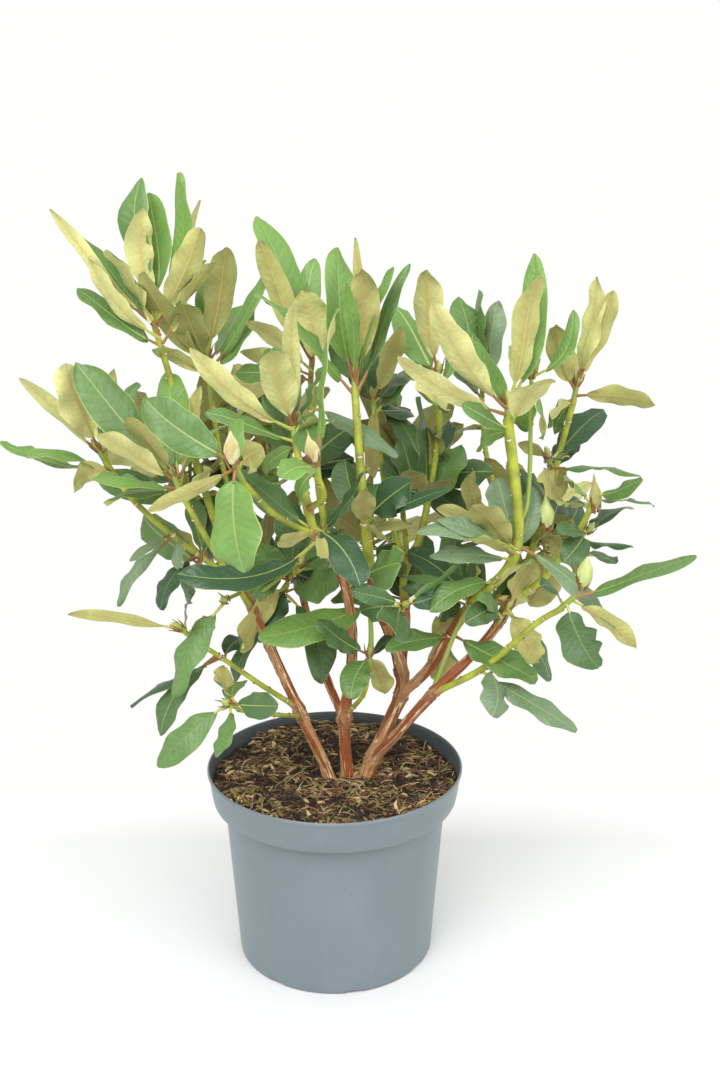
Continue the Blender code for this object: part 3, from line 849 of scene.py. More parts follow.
@dataclass
class Peat:
    """The peat in the pot: an uneven top, a hidden root ball and the chips lying on it."""

    pot: Pot
    top: float = 0.166
    edge_drop: float = 0.003
    rings: int = 46
    corners_round: int = 144
    unevenness: float = 0.0040
    mound: float = 0.0085
    chip_count: int = 4700
    chip_lengths: tuple[float, ...] = (0.004, 0.006, 0.009, 0.013, 0.021)
    chip_faces: int = 14         # twelve sides and two ends
    finish: PeatFinish = PeatFinish("peat_dark")
    chips: tuple[PlainFinish, ...] = (
        PlainFinish("chip_straw", (0.56, 0.42, 0.20), 0.8),
        PlainFinish("chip_olive", (0.215, 0.175, 0.058), 0.8),
        PlainFinish("chip_tan", (0.34, 0.205, 0.100), 0.85),
        PlainFinish("chip_brown", (0.125, 0.066, 0.034), 0.9),
        PlainFinish("chip_dark", (0.030, 0.019, 0.013), 0.95),
        PlainFinish("chip_red", (0.20, 0.070, 0.038), 0.8),
    )
    chip_shares: tuple[float, ...] = (0.15, 0.23, 0.17, 0.22, 0.19, 0.04)
    crumb_shares: tuple[float, ...] = (0.01, 0.05, 0.06, 0.30, 0.56, 0.02)
    pile: Pile = field(default_factory=Pile)
    rng: Random = field(default_factory=lambda: Random(71))

    def surface(self, x: float, y: float) -> float:
        """Height of the peat at a place.

        Args:
            x: The place across.
            y: The place towards the back.

        Returns:
            The height.
        """
        level = self.top - self.edge_drop * ease(0.055, 0.106, math.hypot(x, y))
        level += self.mound * exp(-((x + 0.015) ** 2 / 0.0050 + (y - 0.082) ** 2 / 0.0022))
        place = Vector((x, y, 0.0))
        lumps = noise.noise(place * 55.0) * 0.65 + noise.noise(place * 150.0) * 0.45
        return level + self.unevenness * (lumps + 0.1) + 0.0010

    def build(self) -> None:
        """Build the peat and its chips."""
        wide = self.pot.inner_radius(self.top - self.edge_drop) - 0.0006
        peat = disc("peat_top", self.corners_round, wide / self.rings, self.top, "NGON")
        edit(peat)
        bpy.ops.mesh.poke()
        pick(peat, lambda place: place.xy.length > 0.5 * wide / self.rings)
        for ring in range(1, self.rings):
            grow_ring((ring + 1) / ring, 0.0, self.top)
        sunk = self.pot.height - self.pot.band_height + self.pot.wall + 0.0005
        for radius, height in ((wide - 0.003, sunk), (wide - 0.012, sunk), (0.085, 0.006)):
            grow_ring(radius / wide, 0.0, height, keep=0.0)
            wide = radius
        bpy.ops.mesh.edge_face_add()
        close_up()
        for vertex in peat.data.vertices:
            if vertex.co.z > self.top - 1e-5:
                vertex.co.z = self.surface(vertex.co.x, vertex.co.y)
        peat.data.materials.append(self.finish.material())
        finish_piece(peat, "peat", "soil")
        self.build_chips()

    def build_chips(self) -> None:
        """Scatter fibres, straws and flakes over the peat."""
        rng = self.rng
        reach = self.pot.inner_radius(self.top) - 0.002
        for _ in range(self.chip_count):
            radius = reach * math.sqrt(rng.random())
            bearing = rng.uniform(0.0, 2.0 * pi)
            x, y = radius * cos(bearing), radius * sin(bearing)
            fine = noise.noise(Vector((x, y, 0.7)) * 48.0) > rng.uniform(-0.25, 0.45)
            length = rng.choice(self.chip_lengths) * rng.uniform(0.7, 1.25)
            width = rng.uniform(0.0004, 0.0009)
            if fine:
                length *= 0.55
            elif rng.random() < 0.22:
                length, width = rng.uniform(0.006, 0.013), rng.uniform(0.0018, 0.0036)
            self.add_chip(Vector((x, y, self.surface(x, y))), length, width, reach)
            shares = self.crumb_shares if fine else self.chip_shares
            self.pile.finishes += rng.choices(range(len(self.chips)), shares) * self.chip_faces
        finish_piece(self.pile.build("peat_chips", self.chips), "peat")

    def add_chip(self, place: Vector, length: float, width: float, reach: float) -> None:
        """Lay one bent chip on the peat, as a bar of four rings.

        Args:
            place: The chip's middle on the peat.
            length: Its length.
            width: Its width.
            reach: How far from the pot's axis a chip may lie.
        """
        rng = self.rng
        turn = rng.uniform(0.0, pi)
        along = Vector((cos(turn), sin(turn), rng.gauss(0.0, 0.22))).normalized()
        side = along.cross(UP).normalized()
        lift = rng.uniform(0.0004, 0.0026)
        bow = side * rng.gauss(0.0, 0.12) * length + UP * rng.uniform(0.0, 0.10) * length
        points = []
        for step in range(4):
            share = step / 3.0
            centre = place + along * (share - 0.5) * length + UP * lift
            centre += bow * (4.0 * share * (1.0 - share))
            if centre.xy.length > reach:
                centre.xy = centre.xy.normalized() * reach
            centre.z = max(centre.z, self.surface(centre.x, centre.y) - 0.0003)
            half = width * (0.5 if step in (1, 2) else 0.24)
            thick = min(0.35 * half, 0.0004) + 0.00012
            points += [centre + side * (half * across) + UP * (thick * up)
                       for across, up in ((-1, -1), (1, -1), (1, 1), (-1, 1))]
        faces = [(0, 1, 2, 3), (15, 14, 13, 12)]
        faces += [(b, a, d, c) for a, b, c, d in bands(4, 4)]
        self.pile.add(points, faces, [])


# --- Stems and boughs ---


class Bark(Enum):
    """Whether a limb is brown at its foot or green all along."""

    OLD = "old"
    YOUNG = "young"


@dataclass
class Limb:
    """A stem or bough: where it starts, the places it passes and its thickness."""

    name: str
    parent: str
    rise: float                  # height at which it leaves its parent, in metres
    route: str                   # places it passes, in millimetres
    thick: tuple[float, float]   # diameter at its foot and at its tip, in millimetres
    bark: Bark = Bark.YOUNG
    green_from: float = 0.0      # height above which its bark is young, in metres
    path: list[Vector] = field(default_factory=list)
    frames: list[Pair] = field(default_factory=list)

    def radius(self, share: float) -> float:
        """Radius at a share of the length."""
        foot, tip = self.thick
        return (foot + (tip - foot) * share) * 0.5 * MILLIMETRE

    def radius_at(self, index: int) -> float:
        """Radius at one of the path's points."""
        return self.radius(index / (len(self.path) - 1))

    def nearest(self, place: Vector) -> int:
        """Number of the path's point nearest to a place."""
        return min(range(len(self.path)), key=lambda i: (self.path[i] - place).length)

    def direction(self, index: int, reach: int = 4) -> Vector:
        """Direction of the path at one of its points."""
        ahead, behind = min(index + reach, len(self.path) - 1), max(index - reach, 0)
        return (self.path[ahead] - self.path[behind]).normalized()


LIMBS = (
    Limb("stem_left", "", 0.0, "-6 -8, -31 -14 237, -68 -10 324, -103 10 404, -150 20 572", (10.0, 5.0),
         Bark.OLD, 0.345),
    Limb("stem_middle", "", 0.0, "11 -4, 9 -4 223, 16 -7 295, 8 -28 365, -15 -56 415, -31 -25 483",
         (11.0, 6.0), Bark.OLD, 0.375),
    Limb("stem_right", "", 0.0, "30 0, 50 8 218, 61 10 250, 53 10 290, 36 0 340, 27 -18 410, 18 25 517",
         (13.0, 6.5), Bark.OLD, 0.365),
    Limb("stem_far_right", "stem_right", 0.182, "52 -10 208, 87 -30 261, 127 -22 300, 154 0 331,"
         "176 35 370, 198 50 449, 210 50 503", (9.5, 5.0), Bark.OLD, 0.338),
    Limb("bough_left_tip", "stem_left", 0.352, "-116 0 375, -165 0 418, -193 0 458", (5.5, 5.0)),
    Limb("bough_left_front", "stem_left", 0.325, "-99 -34 389, -123 -50 444", (5.5, 5.0)),
    Limb("bough_left_high", "stem_left", 0.38, "-91 40 404, -103 62 455, -110 70 504", (5.0, 5.0)),
    Limb("bough_low_left", "stem_left", 0.239, "-62 -30 267, -96 -42 298, -117 -50 316", (5.0, 4.0)),
    Limb("bough_lowest_left", "stem_left", 0.229, "-50 -60 253, -76 -101 275", (4.0, 3.5)),
    Limb("bough_back_left", "stem_left", 0.295, "-82 45 340, -112 78 390, -150 105 422", (6.0, 5.0)),
    Limb("bough_front_left", "stem_middle", 0.408, "-42 -84 432, -67 -114 468", (5.5, 4.5)),
    Limb("bough_front_middle", "stem_middle", 0.428, "-6 -76 446, -10 -90 466", (5.0, 4.5)),
    Limb("bough_middle_top", "stem_middle", 0.385, "-12 5 428, -19 50 472, -21 62 519", (5.5, 5.0)),
    Limb("bough_back_middle", "stem_middle", 0.22, "-7 20 252, -25 50 300, -45 102 370, -64 145 432",
         (7.5, 5.0), Bark.OLD, 0.335),
    Limb("bough_low_shoot", "stem_middle", 0.226, "26 -20 255, 31 -30 287", (4.5, 4.0)),
    Limb("bough_right", "stem_right", 0.242, "84 -8 275, 114 -28 336, 147 -30 373, 155 -30 410,"
         "143 -30 500", (9.0, 8.6), Bark.YOUNG, 0.33),
    Limb("bough_right_middle", "stem_right", 0.262, "65 36 300, 62 36 345, 78 46 385, 92 68 460,"
         "93 70 511", (7.0, 5.5), Bark.YOUNG, 0.325),
    Limb("bough_middle_back", "bough_right_middle", 0.352, "50 62 395, 42 86 440, 36 98 483",
         (5.5, 5.0)),
    Limb("bough_back_right_middle", "bough_right_middle", 0.318, "66 85 355, 62 128 396, 60 150 420",
         (5.5, 5.0)),
    Limb("bough_low_centre", "stem_right", 0.322, "50 -28 334, 58 -58 346", (4.5, 4.0)),
    Limb("bough_low_tip", "stem_far_right", 0.259, "127 -52 292, 165 -78 340, 185 -87 357", (6.0, 5.0)),
    Limb("bough_right_tip", "stem_far_right", 0.333, "183 -2 356, 206 -18 400, 215 -28 425", (5.5, 5.0)),
    Limb("bough_right_back", "stem_far_right", 0.352, "158 82 385, 143 130 435, 138 140 490",
         (5.0, 4.5)),
    Limb("bough_back_right", "stem_far_right", 0.318, "158 50 336, 178 115 365", (5.5, 5.0)),
)


@dataclass
class Skeleton:
    """The stems and boughs, each a mesh with the relief of its bark."""

    soil_top: float = 0.166
    foot_sink: float = 0.010
    flare: float = 0.32
    old_step: float = 0.0026
    young_step: float = 0.0040
    old_sides: int = 30
    young_sides: int = 18
    fork_swell: float = 0.26     # share that a limb widens by where another leaves it
    foot_swell: float = 0.30     # share that it widens by where it leaves another
    knot_swell: float = 0.16
    lump_height: float = 0.0021
    crack_depth: float = 0.00045
    plate_height: float = 0.00030
    young_relief: float = 0.00010
    finish: BarkFinish = BarkFinish("limb_bark")
    limbs: dict[str, Limb] = field(default_factory=dict)

    def grow(self) -> None:
        """Work out the path of every limb."""
        for limb in LIMBS:
            stops = read_places(limb.route)
            if limb.parent:
                path = self.limbs[limb.parent].path
                stops.insert(0, next(point for point in path if point.z >= limb.rise))
            else:
                foot = Vector((*stops[0], self.soil_top - self.foot_sink))
                stops[:1] = [foot, foot + UP * (self.foot_sink + 0.005)]
            step = self.old_step if limb.bark is Bark.OLD else self.young_step
            limb.path = smooth_route(stops, step)
            limb.frames = carried_frames(limb.path)
            self.limbs[limb.name] = limb

    def build(self) -> None:
        """Build every limb."""
        for limb in self.limbs.values():
            self.build_limb(limb)

    def build_limb(self, limb: Limb) -> None:
        """Build one limb with its swellings, cracks and flakes.

        Args:
            limb: The limb.
        """
        sides = self.old_sides if limb.bark is Bark.OLD else self.young_sides
        radii = [limb.radius_at(ring) for ring in range(len(limb.path))]
        points, faces = tube(limb.path, radii, sides)
        forks = [limb.nearest(child.path[0]) for child in self.limbs.values()
                 if child.parent == limb.name]
        seed = sum(map(ord, limb.name)) * 0.37
        marks, length = [], 0.0
        for ring, (centre, radius) in enumerate(zip(limb.path, radii)):
            length += (centre - limb.path[ring - 1]).length if ring else 0.0
            young = self.youth(limb, centre.z, length)
            swell = self.swelling(limb, ring, forks, length, seed)
            knob = max([exp(-((ring - fork) * self.old_step / 0.007) ** 2) for fork in forks]
                       + [0.8 * exp(-((length - 0.006) / 0.004) ** 2)])
            for number in range(ring * sides, (ring + 1) * sides):
                angle = 2.0 * pi * (number - ring * sides) / sides
                place = Vector((cos(angle), sin(angle), 0.0)) * radius
                place += Vector((seed, 0.0, length))
                lumps = self.lump_height * knob * (1.0 - 0.7 * young) * noise.noise(place * 380.0)
                grow = swell + (self.roughness(place, young) + lumps) / radius
                points[number] = centre + (points[number] - centre) * grow
                marks.append((*place, young, knob))
        marks = np.array(marks + [marks[0], marks[-1]])
        item = new_mesh_object(limb.name + "_bark", points, faces)
        store(item, "limb_place", marks[:, :3])
        store(item, "youth", marks[:, 3])
        store(item, "knob", marks[:, 4])
        item.data.materials.append(self.finish.material())
        finish_piece(item, "bark" if limb.bark is Bark.OLD else "young_bark", limb.name)

    def youth(self, limb: Limb, height: float, length: float) -> float:
        """How young a limb's bark is at a height, at a length along the limb."""
        if limb.bark is Bark.YOUNG and not limb.green_from:
            return ease(0.004, 0.016, length)
        return ease(limb.green_from - 0.02, limb.green_from + 0.02, height)

    def swelling(self, limb: Limb, ring: int, forks: list[int], length: float,
                 seed: float) -> float:
        """How much wider than its taper a limb is at a ring.

        Args:
            limb: The limb.
            ring: The ring's number.
            forks: Numbers of the rings where other limbs leave it.
            length: The ring's distance along the limb.
            seed: The limb's own number.

        Returns:
            A factor of the radius.
        """
        swell = 1.0 + self.fork_swell * sum(
            exp(-((ring - fork) * self.old_step / 0.0065) ** 2) for fork in forks)
        if limb.parent:
            swell += self.foot_swell * exp(-(length / 0.009) ** 2)
        else:
            swell += self.flare * exp(-max(length - self.foot_sink, 0.0) / 0.010)
        knots = noise.noise(Vector((seed, 0.0, length * 42.0)))
        return swell + self.knot_swell * max(knots - 0.18, 0.0) + 0.035 * knots

    def roughness(self, place: Vector, young: float) -> float:
        """Height of the bark's relief.

        Args:
            place: A place on the straightened limb.
            young: How young the bark is there.

        Returns:
            The height in metres.
        """
        cracks = abs(noise.noise(Vector((place.x * 430.0, place.y * 430.0, place.z * 60.0))))
        plates = noise.noise(Vector((place.x * 190.0, place.y * 190.0, place.z * 38.0)))
        old = self.crack_depth * (0.5 - 1.8 * max(0.16 - cracks, 0.0) / 0.16)
        old += self.plate_height * plates
        new = self.young_relief * noise.noise(place * 260.0)
        return old * (1.0 - young) + new * young


# --- Leaves ---


class Zone(IntEnum):
    """Parts of a leaf that have a finish of their own."""

    UPPER = 0
    EDGE = 1
    RIB = 2
    UNDER = 3
    UNDER_RIB = 4
    STALK = 5


class Tone(Enum):
    """The look of a spray of leaves, by its age and its light; the dark tones are partly painted shade
    for inner sprays and the bluish one is partly painted sheen.
    """

    FRESH = "fresh"
    MID = "mid"
    DARK = "dark"
    # a greyer, bluer green: partly the leaves' own tint, partly painted sheen
    BLUISH = "bluish"


class Face(Enum):
    """The side that a leaf turns to the front, in full or nearly edge-on."""

    TOP = "T"
    UNDER = "U"
    TOP_EDGE = "t"
    UNDER_EDGE = "u"
    ANY = ""


LEAF_FINISHES = (
    BladeFinish("leaf_upper_fresh", (0.159, 0.308, 0.061), (0.289, 0.449, 0.123), 0.42),
    BladeFinish("leaf_upper_mid", (0.112, 0.216, 0.054), (0.203, 0.332, 0.107), 0.42, blemish=0.5),
    BladeFinish("leaf_upper_dark", (0.068, 0.141, 0.042), (0.128, 0.225, 0.080), blemish=0.8),
    # the darkest green, partly painted shade for leaves inside the crown
    BladeFinish("leaf_upper_deep", (0.034, 0.087, 0.034), (0.079, 0.158, 0.068), 0.38, blemish=0.6),
    # greyer, bluer green: partly the leaves' own tint, partly painted sheen
    BladeFinish("leaf_upper_bluish", (0.156, 0.240, 0.126), (0.235, 0.332, 0.182), blemish=0.6),
    BladeFinish("leaf_under_pale", (0.634, 0.624, 0.256), (0.378, 0.304, 0.089), 0.72, 0.12,
                0.00016, 0.0, 0.3, 0.36, 0.20),
    BladeFinish("leaf_under_olive", (0.482, 0.477, 0.166), (0.288, 0.227, 0.067), 0.72, 0.13,
                0.00016, 0.3, 0.3, 0.36, 0.22),
    BladeFinish("leaf_under_tan", (0.40, 0.385, 0.135), (0.26, 0.20, 0.062), 0.75, 0.14,
                0.00016, 0.5, 0.3, 0.32, 0.24),
    PlainFinish("leaf_edge_light", (0.36, 0.45, 0.11), 0.45),
    PlainFinish("leaf_edge_dark", (0.17, 0.25, 0.070), 0.45),
    PlainFinish("leaf_midrib_light", (0.46, 0.54, 0.18), 0.42),
    PlainFinish("leaf_midrib_mid", (0.29, 0.38, 0.115), 0.42),
    PlainFinish("leaf_midrib_dark", (0.15, 0.22, 0.075), 0.42),
    PlainFinish("leaf_under_midrib", (0.60, 0.45, 0.145), 0.6),
    PlainFinish("leaf_under_midrib_red", (0.46, 0.30, 0.095), 0.6),
    PlainFinish("leaf_stalk_green", (0.46, 0.47, 0.095)),
    PlainFinish("leaf_stalk_brown", (0.32, 0.165, 0.055)),
)
FINISH_NUMBER = {finish.name: number for number, finish in enumerate(LEAF_FINISHES)}

# The zones whose finish is dealt by chance, each with the start of its finishes' names, and for
# each tone the ends of those names, zone by zone.
DEALT_ZONES = {Zone.UPPER: "leaf_upper_", Zone.UNDER: "leaf_under_", Zone.EDGE: "leaf_edge_",
               Zone.RIB: "leaf_midrib_", Zone.STALK: "leaf_stalk_"}
TONE_FINISHES = {
    Tone.FRESH: (("fresh", "fresh", "mid"), ("pale", "pale", "olive"), ("light",),
                 ("light", "mid"), ("green", "brown", "brown")),
    Tone.MID: (("mid", "fresh", "mid"), ("olive", "pale", "tan"), ("light",), ("mid",),
               ("green", "brown")),
    Tone.DARK: (("dark", "mid", "deep", "dark"), ("olive", "tan", "olive"), ("dark",),
                ("dark", "mid"), ("green", "green", "brown")),
    Tone.BLUISH: (("bluish", "bluish", "mid"), ("olive", "tan"), ("light", "dark"), ("mid",),
                  ("green", "brown")),
}


def deal(tone: Tone, rng: Random) -> dict[Zone, int]:
    """Deal a leaf its finishes from those of its tone.

    Args:
        tone: The tone of its spray.
        rng: The source of chance.

    Returns:
        A finish number for each zone.
    """
    dealt = {zone: start + rng.choice(ends)
             for (zone, start), ends in zip(DEALT_ZONES.items(), TONE_FINISHES[tone])}
    red = "_red" if dealt[Zone.UNDER] == "leaf_under_tan" else ""
    dealt[Zone.UNDER_RIB] = "leaf_under_midrib" + red
    return {zone: FINISH_NUMBER[name] for zone, name in dealt.items()}


@dataclass
class Blade:
    """The flat model of a leaf blade, one long and two wide, that every leaf is bent from."""

    rows: int = 15
    columns: tuple[float, ...] = (0.034, 0.50, 0.968, 1.0)
    thickness: float = 0.034
    rib_rise: float = 0.075
    fullest: float = 0.52        # share of the length where the blade is widest
    points: np.ndarray = None
    fractions: np.ndarray = None
    faces: list[tuple] = field(default_factory=list)
    zones: list[Zone] = field(default_factory=list)

    def station(self, row: int) -> float:
        """Share of the length at a row; the rows are closer at the ends."""
        share = row / self.rows
        return 0.62 * share + 0.38 * (0.5 - 0.5 * cos(pi * share))

    def half_width(self, along: float) -> float:
        """Half of the width at a share of the length.

        Args:
            along: The share of the length.

        Returns:
            The half width.
        """
        rise, fall = 0.66, 0.60 * (1.0 - self.fullest) / self.fullest
        peak = self.fullest ** rise * (1.0 - self.fullest) ** fall
        along = min(max(along, 0.004), 0.997)
        return along ** rise * (1.0 - along) ** fall / peak

    def build(self) -> None:
        """Model the blade and keep its points, faces and zones."""
        strips = 2 * len(self.columns) - 1
        deselect()
        bpy.ops.mesh.primitive_grid_add(x_subdivisions=strips, y_subdivisions=self.rows, size=2.0)
        blade = bpy.context.active_object
        edit(blade)
        for number, column in enumerate(self.columns):
            evenly = (2 * number + 1) / strips
            pick(blade, lambda place: abs(abs(place.x) - evenly) < 0.02)
            bpy.ops.transform.resize(value=(column / evenly, 1.0, 1.0), center_override=(0, 0, 0))
        bpy.ops.mesh.select_all(action="SELECT")
        bpy.ops.mesh.duplicate()
        bpy.ops.mesh.flip_normals()
        bpy.ops.transform.translate(value=(0.0, 0.0, -self.thickness))
        pick(blade, lambda place: max(abs(place.x), abs(place.y)) > 0.99)
        bpy.ops.transform.resize(value=(1.0, 1.0, 0.0), center_override=(0, 0, 0))
        bpy.ops.mesh.select_all(action="SELECT")
        bpy.ops.mesh.remove_doubles(threshold=1e-5)
        bpy.ops.object.mode_set(mode="OBJECT")
        self.read(blade)
        bpy.data.objects.remove(blade, do_unlink=True)

    def read(self, blade: Item) -> None:
        """Shape the rows to the outline and note each face's zone.

        Args:
            blade: The modelled blade.
        """
        flat = np.array([vertex.co for vertex in blade.data.vertices])
        self.points, self.fractions = np.zeros(flat.shape), np.zeros(flat.shape)
        for number, (x, y, z) in enumerate(flat):
            along = self.station(round((y + 1.0) * 0.5 * self.rows))
            width, middle = self.half_width(along), abs(x) < 0.1
            rise = -0.035 if middle else 0.0
            if z < -1e-4:
                rib = self.rib_rise * (1.0 - 0.8 * along) if middle else 0.0
                rise = z * (0.5 + 0.5 * width) - rib
            if middle:
                width *= (1.45 - 1.1 * along) / max(width, 0.35)
            self.points[number] = (x * width, along, rise)
            self.fractions[number] = (along, x, 0.0)
        for face in blade.data.polygons:
            corners = flat[list(face.vertices)]
            reach, inner = np.abs(corners[:, 0]).max(), np.abs(corners[:, 0]).min()
            self.faces.append(tuple(face.vertices))
            if corners[:, 2].min() < -1e-4 or face.normal.z < 0.0:
                self.zones.append(Zone.UNDER_RIB if reach < 0.1 else Zone.UNDER)
            elif reach < 0.1:
                self.zones.append(Zone.RIB)
            else:
                self.zones.append(Zone.EDGE if inner > 0.9 else Zone.UPPER)


@dataclass
class Leaf:
    """One leaf: where it leaves its shoot, where its tip is and how its blade lies."""

    foot: Vector
    tip: Vector
    shoot: Vector                # direction of the shoot it grows on
    tone: Tone
    face: Face = Face.ANY
    width: float = 0.0           # widest width, in centimetres; worked out when left out
    bow: float = 0.0             # how far its middle leans to its right, in centimetres
    droop: float = 0.3
    cup: float = 0.2

    def look(self, rng: Random) -> Vector:
        """Direction that the upper side looks at the middle of the leaf.

        Args:
            rng: The source of chance.

        Returns:
            The direction.
        """
        along = (self.tip - self.foot).normalized()
        normal = self.shoot - along * self.shoot.dot(along)
        outward = along - self.shoot * along.dot(self.shoot)
        if normal.length < 0.3:
            normal = normal - outward.normalized() * (0.3 - normal.length)
            normal -= along * normal.dot(along)
        normal.normalize()
        swing = 0.45 if self.face is Face.ANY else 0.12
        front = FRONT - along * FRONT.dot(along)
        if self.face is not Face.ANY and front.length > 0.2:
            wanted = 1.0 if self.face in (Face.TOP, Face.TOP_EDGE) else -1.0
            front.normalize()
            least = 0.80 if self.face in (Face.TOP, Face.UNDER) else 0.30
            if normal.dot(front) * wanted < least:
                side = along.cross(front)
                lean = math.copysign(math.sqrt(1.0 - least * least), normal.dot(side))
                normal = front * wanted * least + side * lean
            elif self.face in (Face.TOP_EDGE, Face.UNDER_EDGE):
                side = normal - front * normal.dot(front)
                normal = front * wanted * least + side.normalized() * 0.95
        return Matrix.Rotation(rng.uniform(-swing, swing), 3, along) @ normal


@dataclass
class LeafMaker:
    """Bends copies of a blade along a leaf's line and gives each its stalk."""

    fine: Blade
    coarse: Blade
    rng: Random
    stalk_share: float = 0.15
    stalk_sides: int = 6
    stalk_rings: int = 6
    stalk_radius: float = 0.0009
    pull: float = 0.36           # how far its controls reach along a leaf's line
    width_share: float = 0.150   # of a leaf's length, in a width that is worked out
    least_width: float = 0.0185

    def add(self, pile: Pile, leaf: Leaf) -> None:
        """Add one leaf to a pile.

        Args:
            pile: Where the leaf goes.
            leaf: The leaf.
        """
        rng = self.rng
        span = leaf.tip - leaf.foot
        length, along = span.length, span.normalized()
        normal = leaf.look(rng)
        side = along.cross(normal)
        outward = along - leaf.shoot * along.dot(leaf.shoot)
        start = (along * 0.75 + outward * 0.55 + leaf.shoot * 0.25).normalized()
        finish = (along - normal * leaf.droop + side * rng.uniform(-0.18, 0.18)).normalized()
        sway = side * rng.uniform(-0.04, 0.04) * length
        right = along.cross(FRONT)
        if leaf.bow and right.length > 0.2:
            sway = right.normalized() * (leaf.bow * CENTIMETRE * 1.33)
        pull = self.pull * length
        controls = np.array([leaf.foot, leaf.foot + start * pull + sway,
                             leaf.tip - finish * pull + sway, leaf.tip])
        finishes = deal(leaf.tone, rng)
        self.add_stalk(pile, controls, finishes[Zone.STALK])
        width = leaf.width * CENTIMETRE or (
            (self.width_share * length + self.least_width) * rng.uniform(0.86, 1.08))
        blade = self.coarse if leaf.face is Face.ANY else self.fine
        points = self.bend(blade, controls, np.array(normal), 0.5 * width, leaf.cup)
        fractions = blade.fractions.copy()
        fractions[:, 2] = rng.random()
        pile.add(points, blade.faces, [finishes[zone] for zone in blade.zones], fractions)

    def line(self, controls: np.ndarray, shares: np.ndarray) -> tuple[np.ndarray, np.ndarray]:
        """Places and directions at shares of a leaf's line.

        Args:
            controls: The line's four control points.
            shares: Shares of its length, from 0 to 1.

        Returns:
            Two arrays of shape (n, 3).
        """
        t = shares[:, None]
        a, b, c, d = controls
        places = (1 - t) ** 3 * a + 3 * (1 - t) ** 2 * t * b + 3 * (1 - t) * t * t * c + t ** 3 * d
        ways = 3 * ((1 - t) ** 2 * (b - a) + 2 * (1 - t) * t * (c - b) + t * t * (d - c))
        return places, ways / np.linalg.norm(ways, axis=1, keepdims=True)

    def add_stalk(self, pile: Pile, controls: np.ndarray, finish: int) -> None:
        """Add a leaf's stalk, from inside its shoot to a little way under its midrib.

        Args:
            pile: Where it goes.
            controls: The four control points of the leaf's line.
            finish: Its finish.
        """
        shares = np.linspace(0.0, self.stalk_share + 0.03, self.stalk_rings)
        places, _ = self.line(controls, shares)
        stout = self.stalk_radius + 0.0055 * float(np.linalg.norm(controls[3] - controls[0]))
        radii = [stout * (1.25 - 0.45 * share / shares[-1]) for share in shares]
        radii[-1] *= 0.6
        pile.add(*tube([Vector(place) for place in places], radii, self.stalk_sides), finish)

    def bend(self, blade: Blade, controls: np.ndarray, normal: np.ndarray, half: float,
             cup: float) -> np.ndarray:
        """Bend a copy of the blade along a leaf's line.

        Args:
            blade: The blade.
            controls: The line's four control points.
            normal: The way the upper side looks.
            half: Half of the widest width.
            cup: How far the sides rise above the midrib.

        Returns:
            The copy's points.
        """
        rng = self.rng
        across, along, rise = blade.points.T
        places, ways = self.line(controls, self.stalk_share + (1.0 - self.stalk_share) * along)
        overs = normal - ways * (ways @ normal)[:, None]
        overs /= np.linalg.norm(overs, axis=1, keepdims=True)
        sides = np.cross(ways, overs)
        twist = (rng.uniform(-0.5, 0.5) * (along - 0.4))[:, None]
        turned = sides * np.cos(twist) + overs * np.sin(twist)
        overs = overs * np.cos(twist) - sides * np.sin(twist)
        fraction = blade.fractions[:, 1]
        margin = np.abs(fraction)
        height = rise + cup * np.abs(across) * (1.2 - 0.5 * margin)
        height -= rng.uniform(0.04, 0.20) * np.clip((margin - 0.5) / 0.5, 0.0, 1.0) ** 2
        for edge in (-1.0, 1.0):
            waves, phase = rng.uniform(1.3, 3.2), rng.uniform(0.0, 2.0 * pi)
            on_side = np.clip(edge * fraction, 0.0, 1.0) ** 2
            wave = np.sin(2.0 * pi * waves * along + phase)
            height += rng.uniform(0.07, 0.25) * on_side * wave
            ripple = np.sin(5.1 * along + 2.0 * phase) + 0.5 * np.sin(17.0 * along + phase)
            across = across * (1.0 + 0.055 * on_side * ripple)
        return places + turned * (across * half)[:, None] + overs * (height * half)[:, None]


# --- Whorls: where the leaves sit on the stems and boughs ---


@dataclass
class Whorl:
    """A whorl of leaves: the mass it belongs to, its bud, its tone and its leaf tips.

    The leaf tips are a table with a comma after each. A tip has its place from the bud, across,
    back and up, the letter of its Face, its width and how far its middle leans to its right, all
    in centimetres. A width that is left out is worked out, and a lean that is left out is none.
    """

    mass: str                    # name of its mass, after "leaves_"
    node: str                    # its bud's place, in millimetres
    tone: Tone
    spread: float                # how far below the bud the last leaf leaves the shoot, in cm
    extra: int                   # seeded leaves that fill the whorl towards the back
    tips: str
    route: str = ""              # places its own thin shoot passes, in millimetres


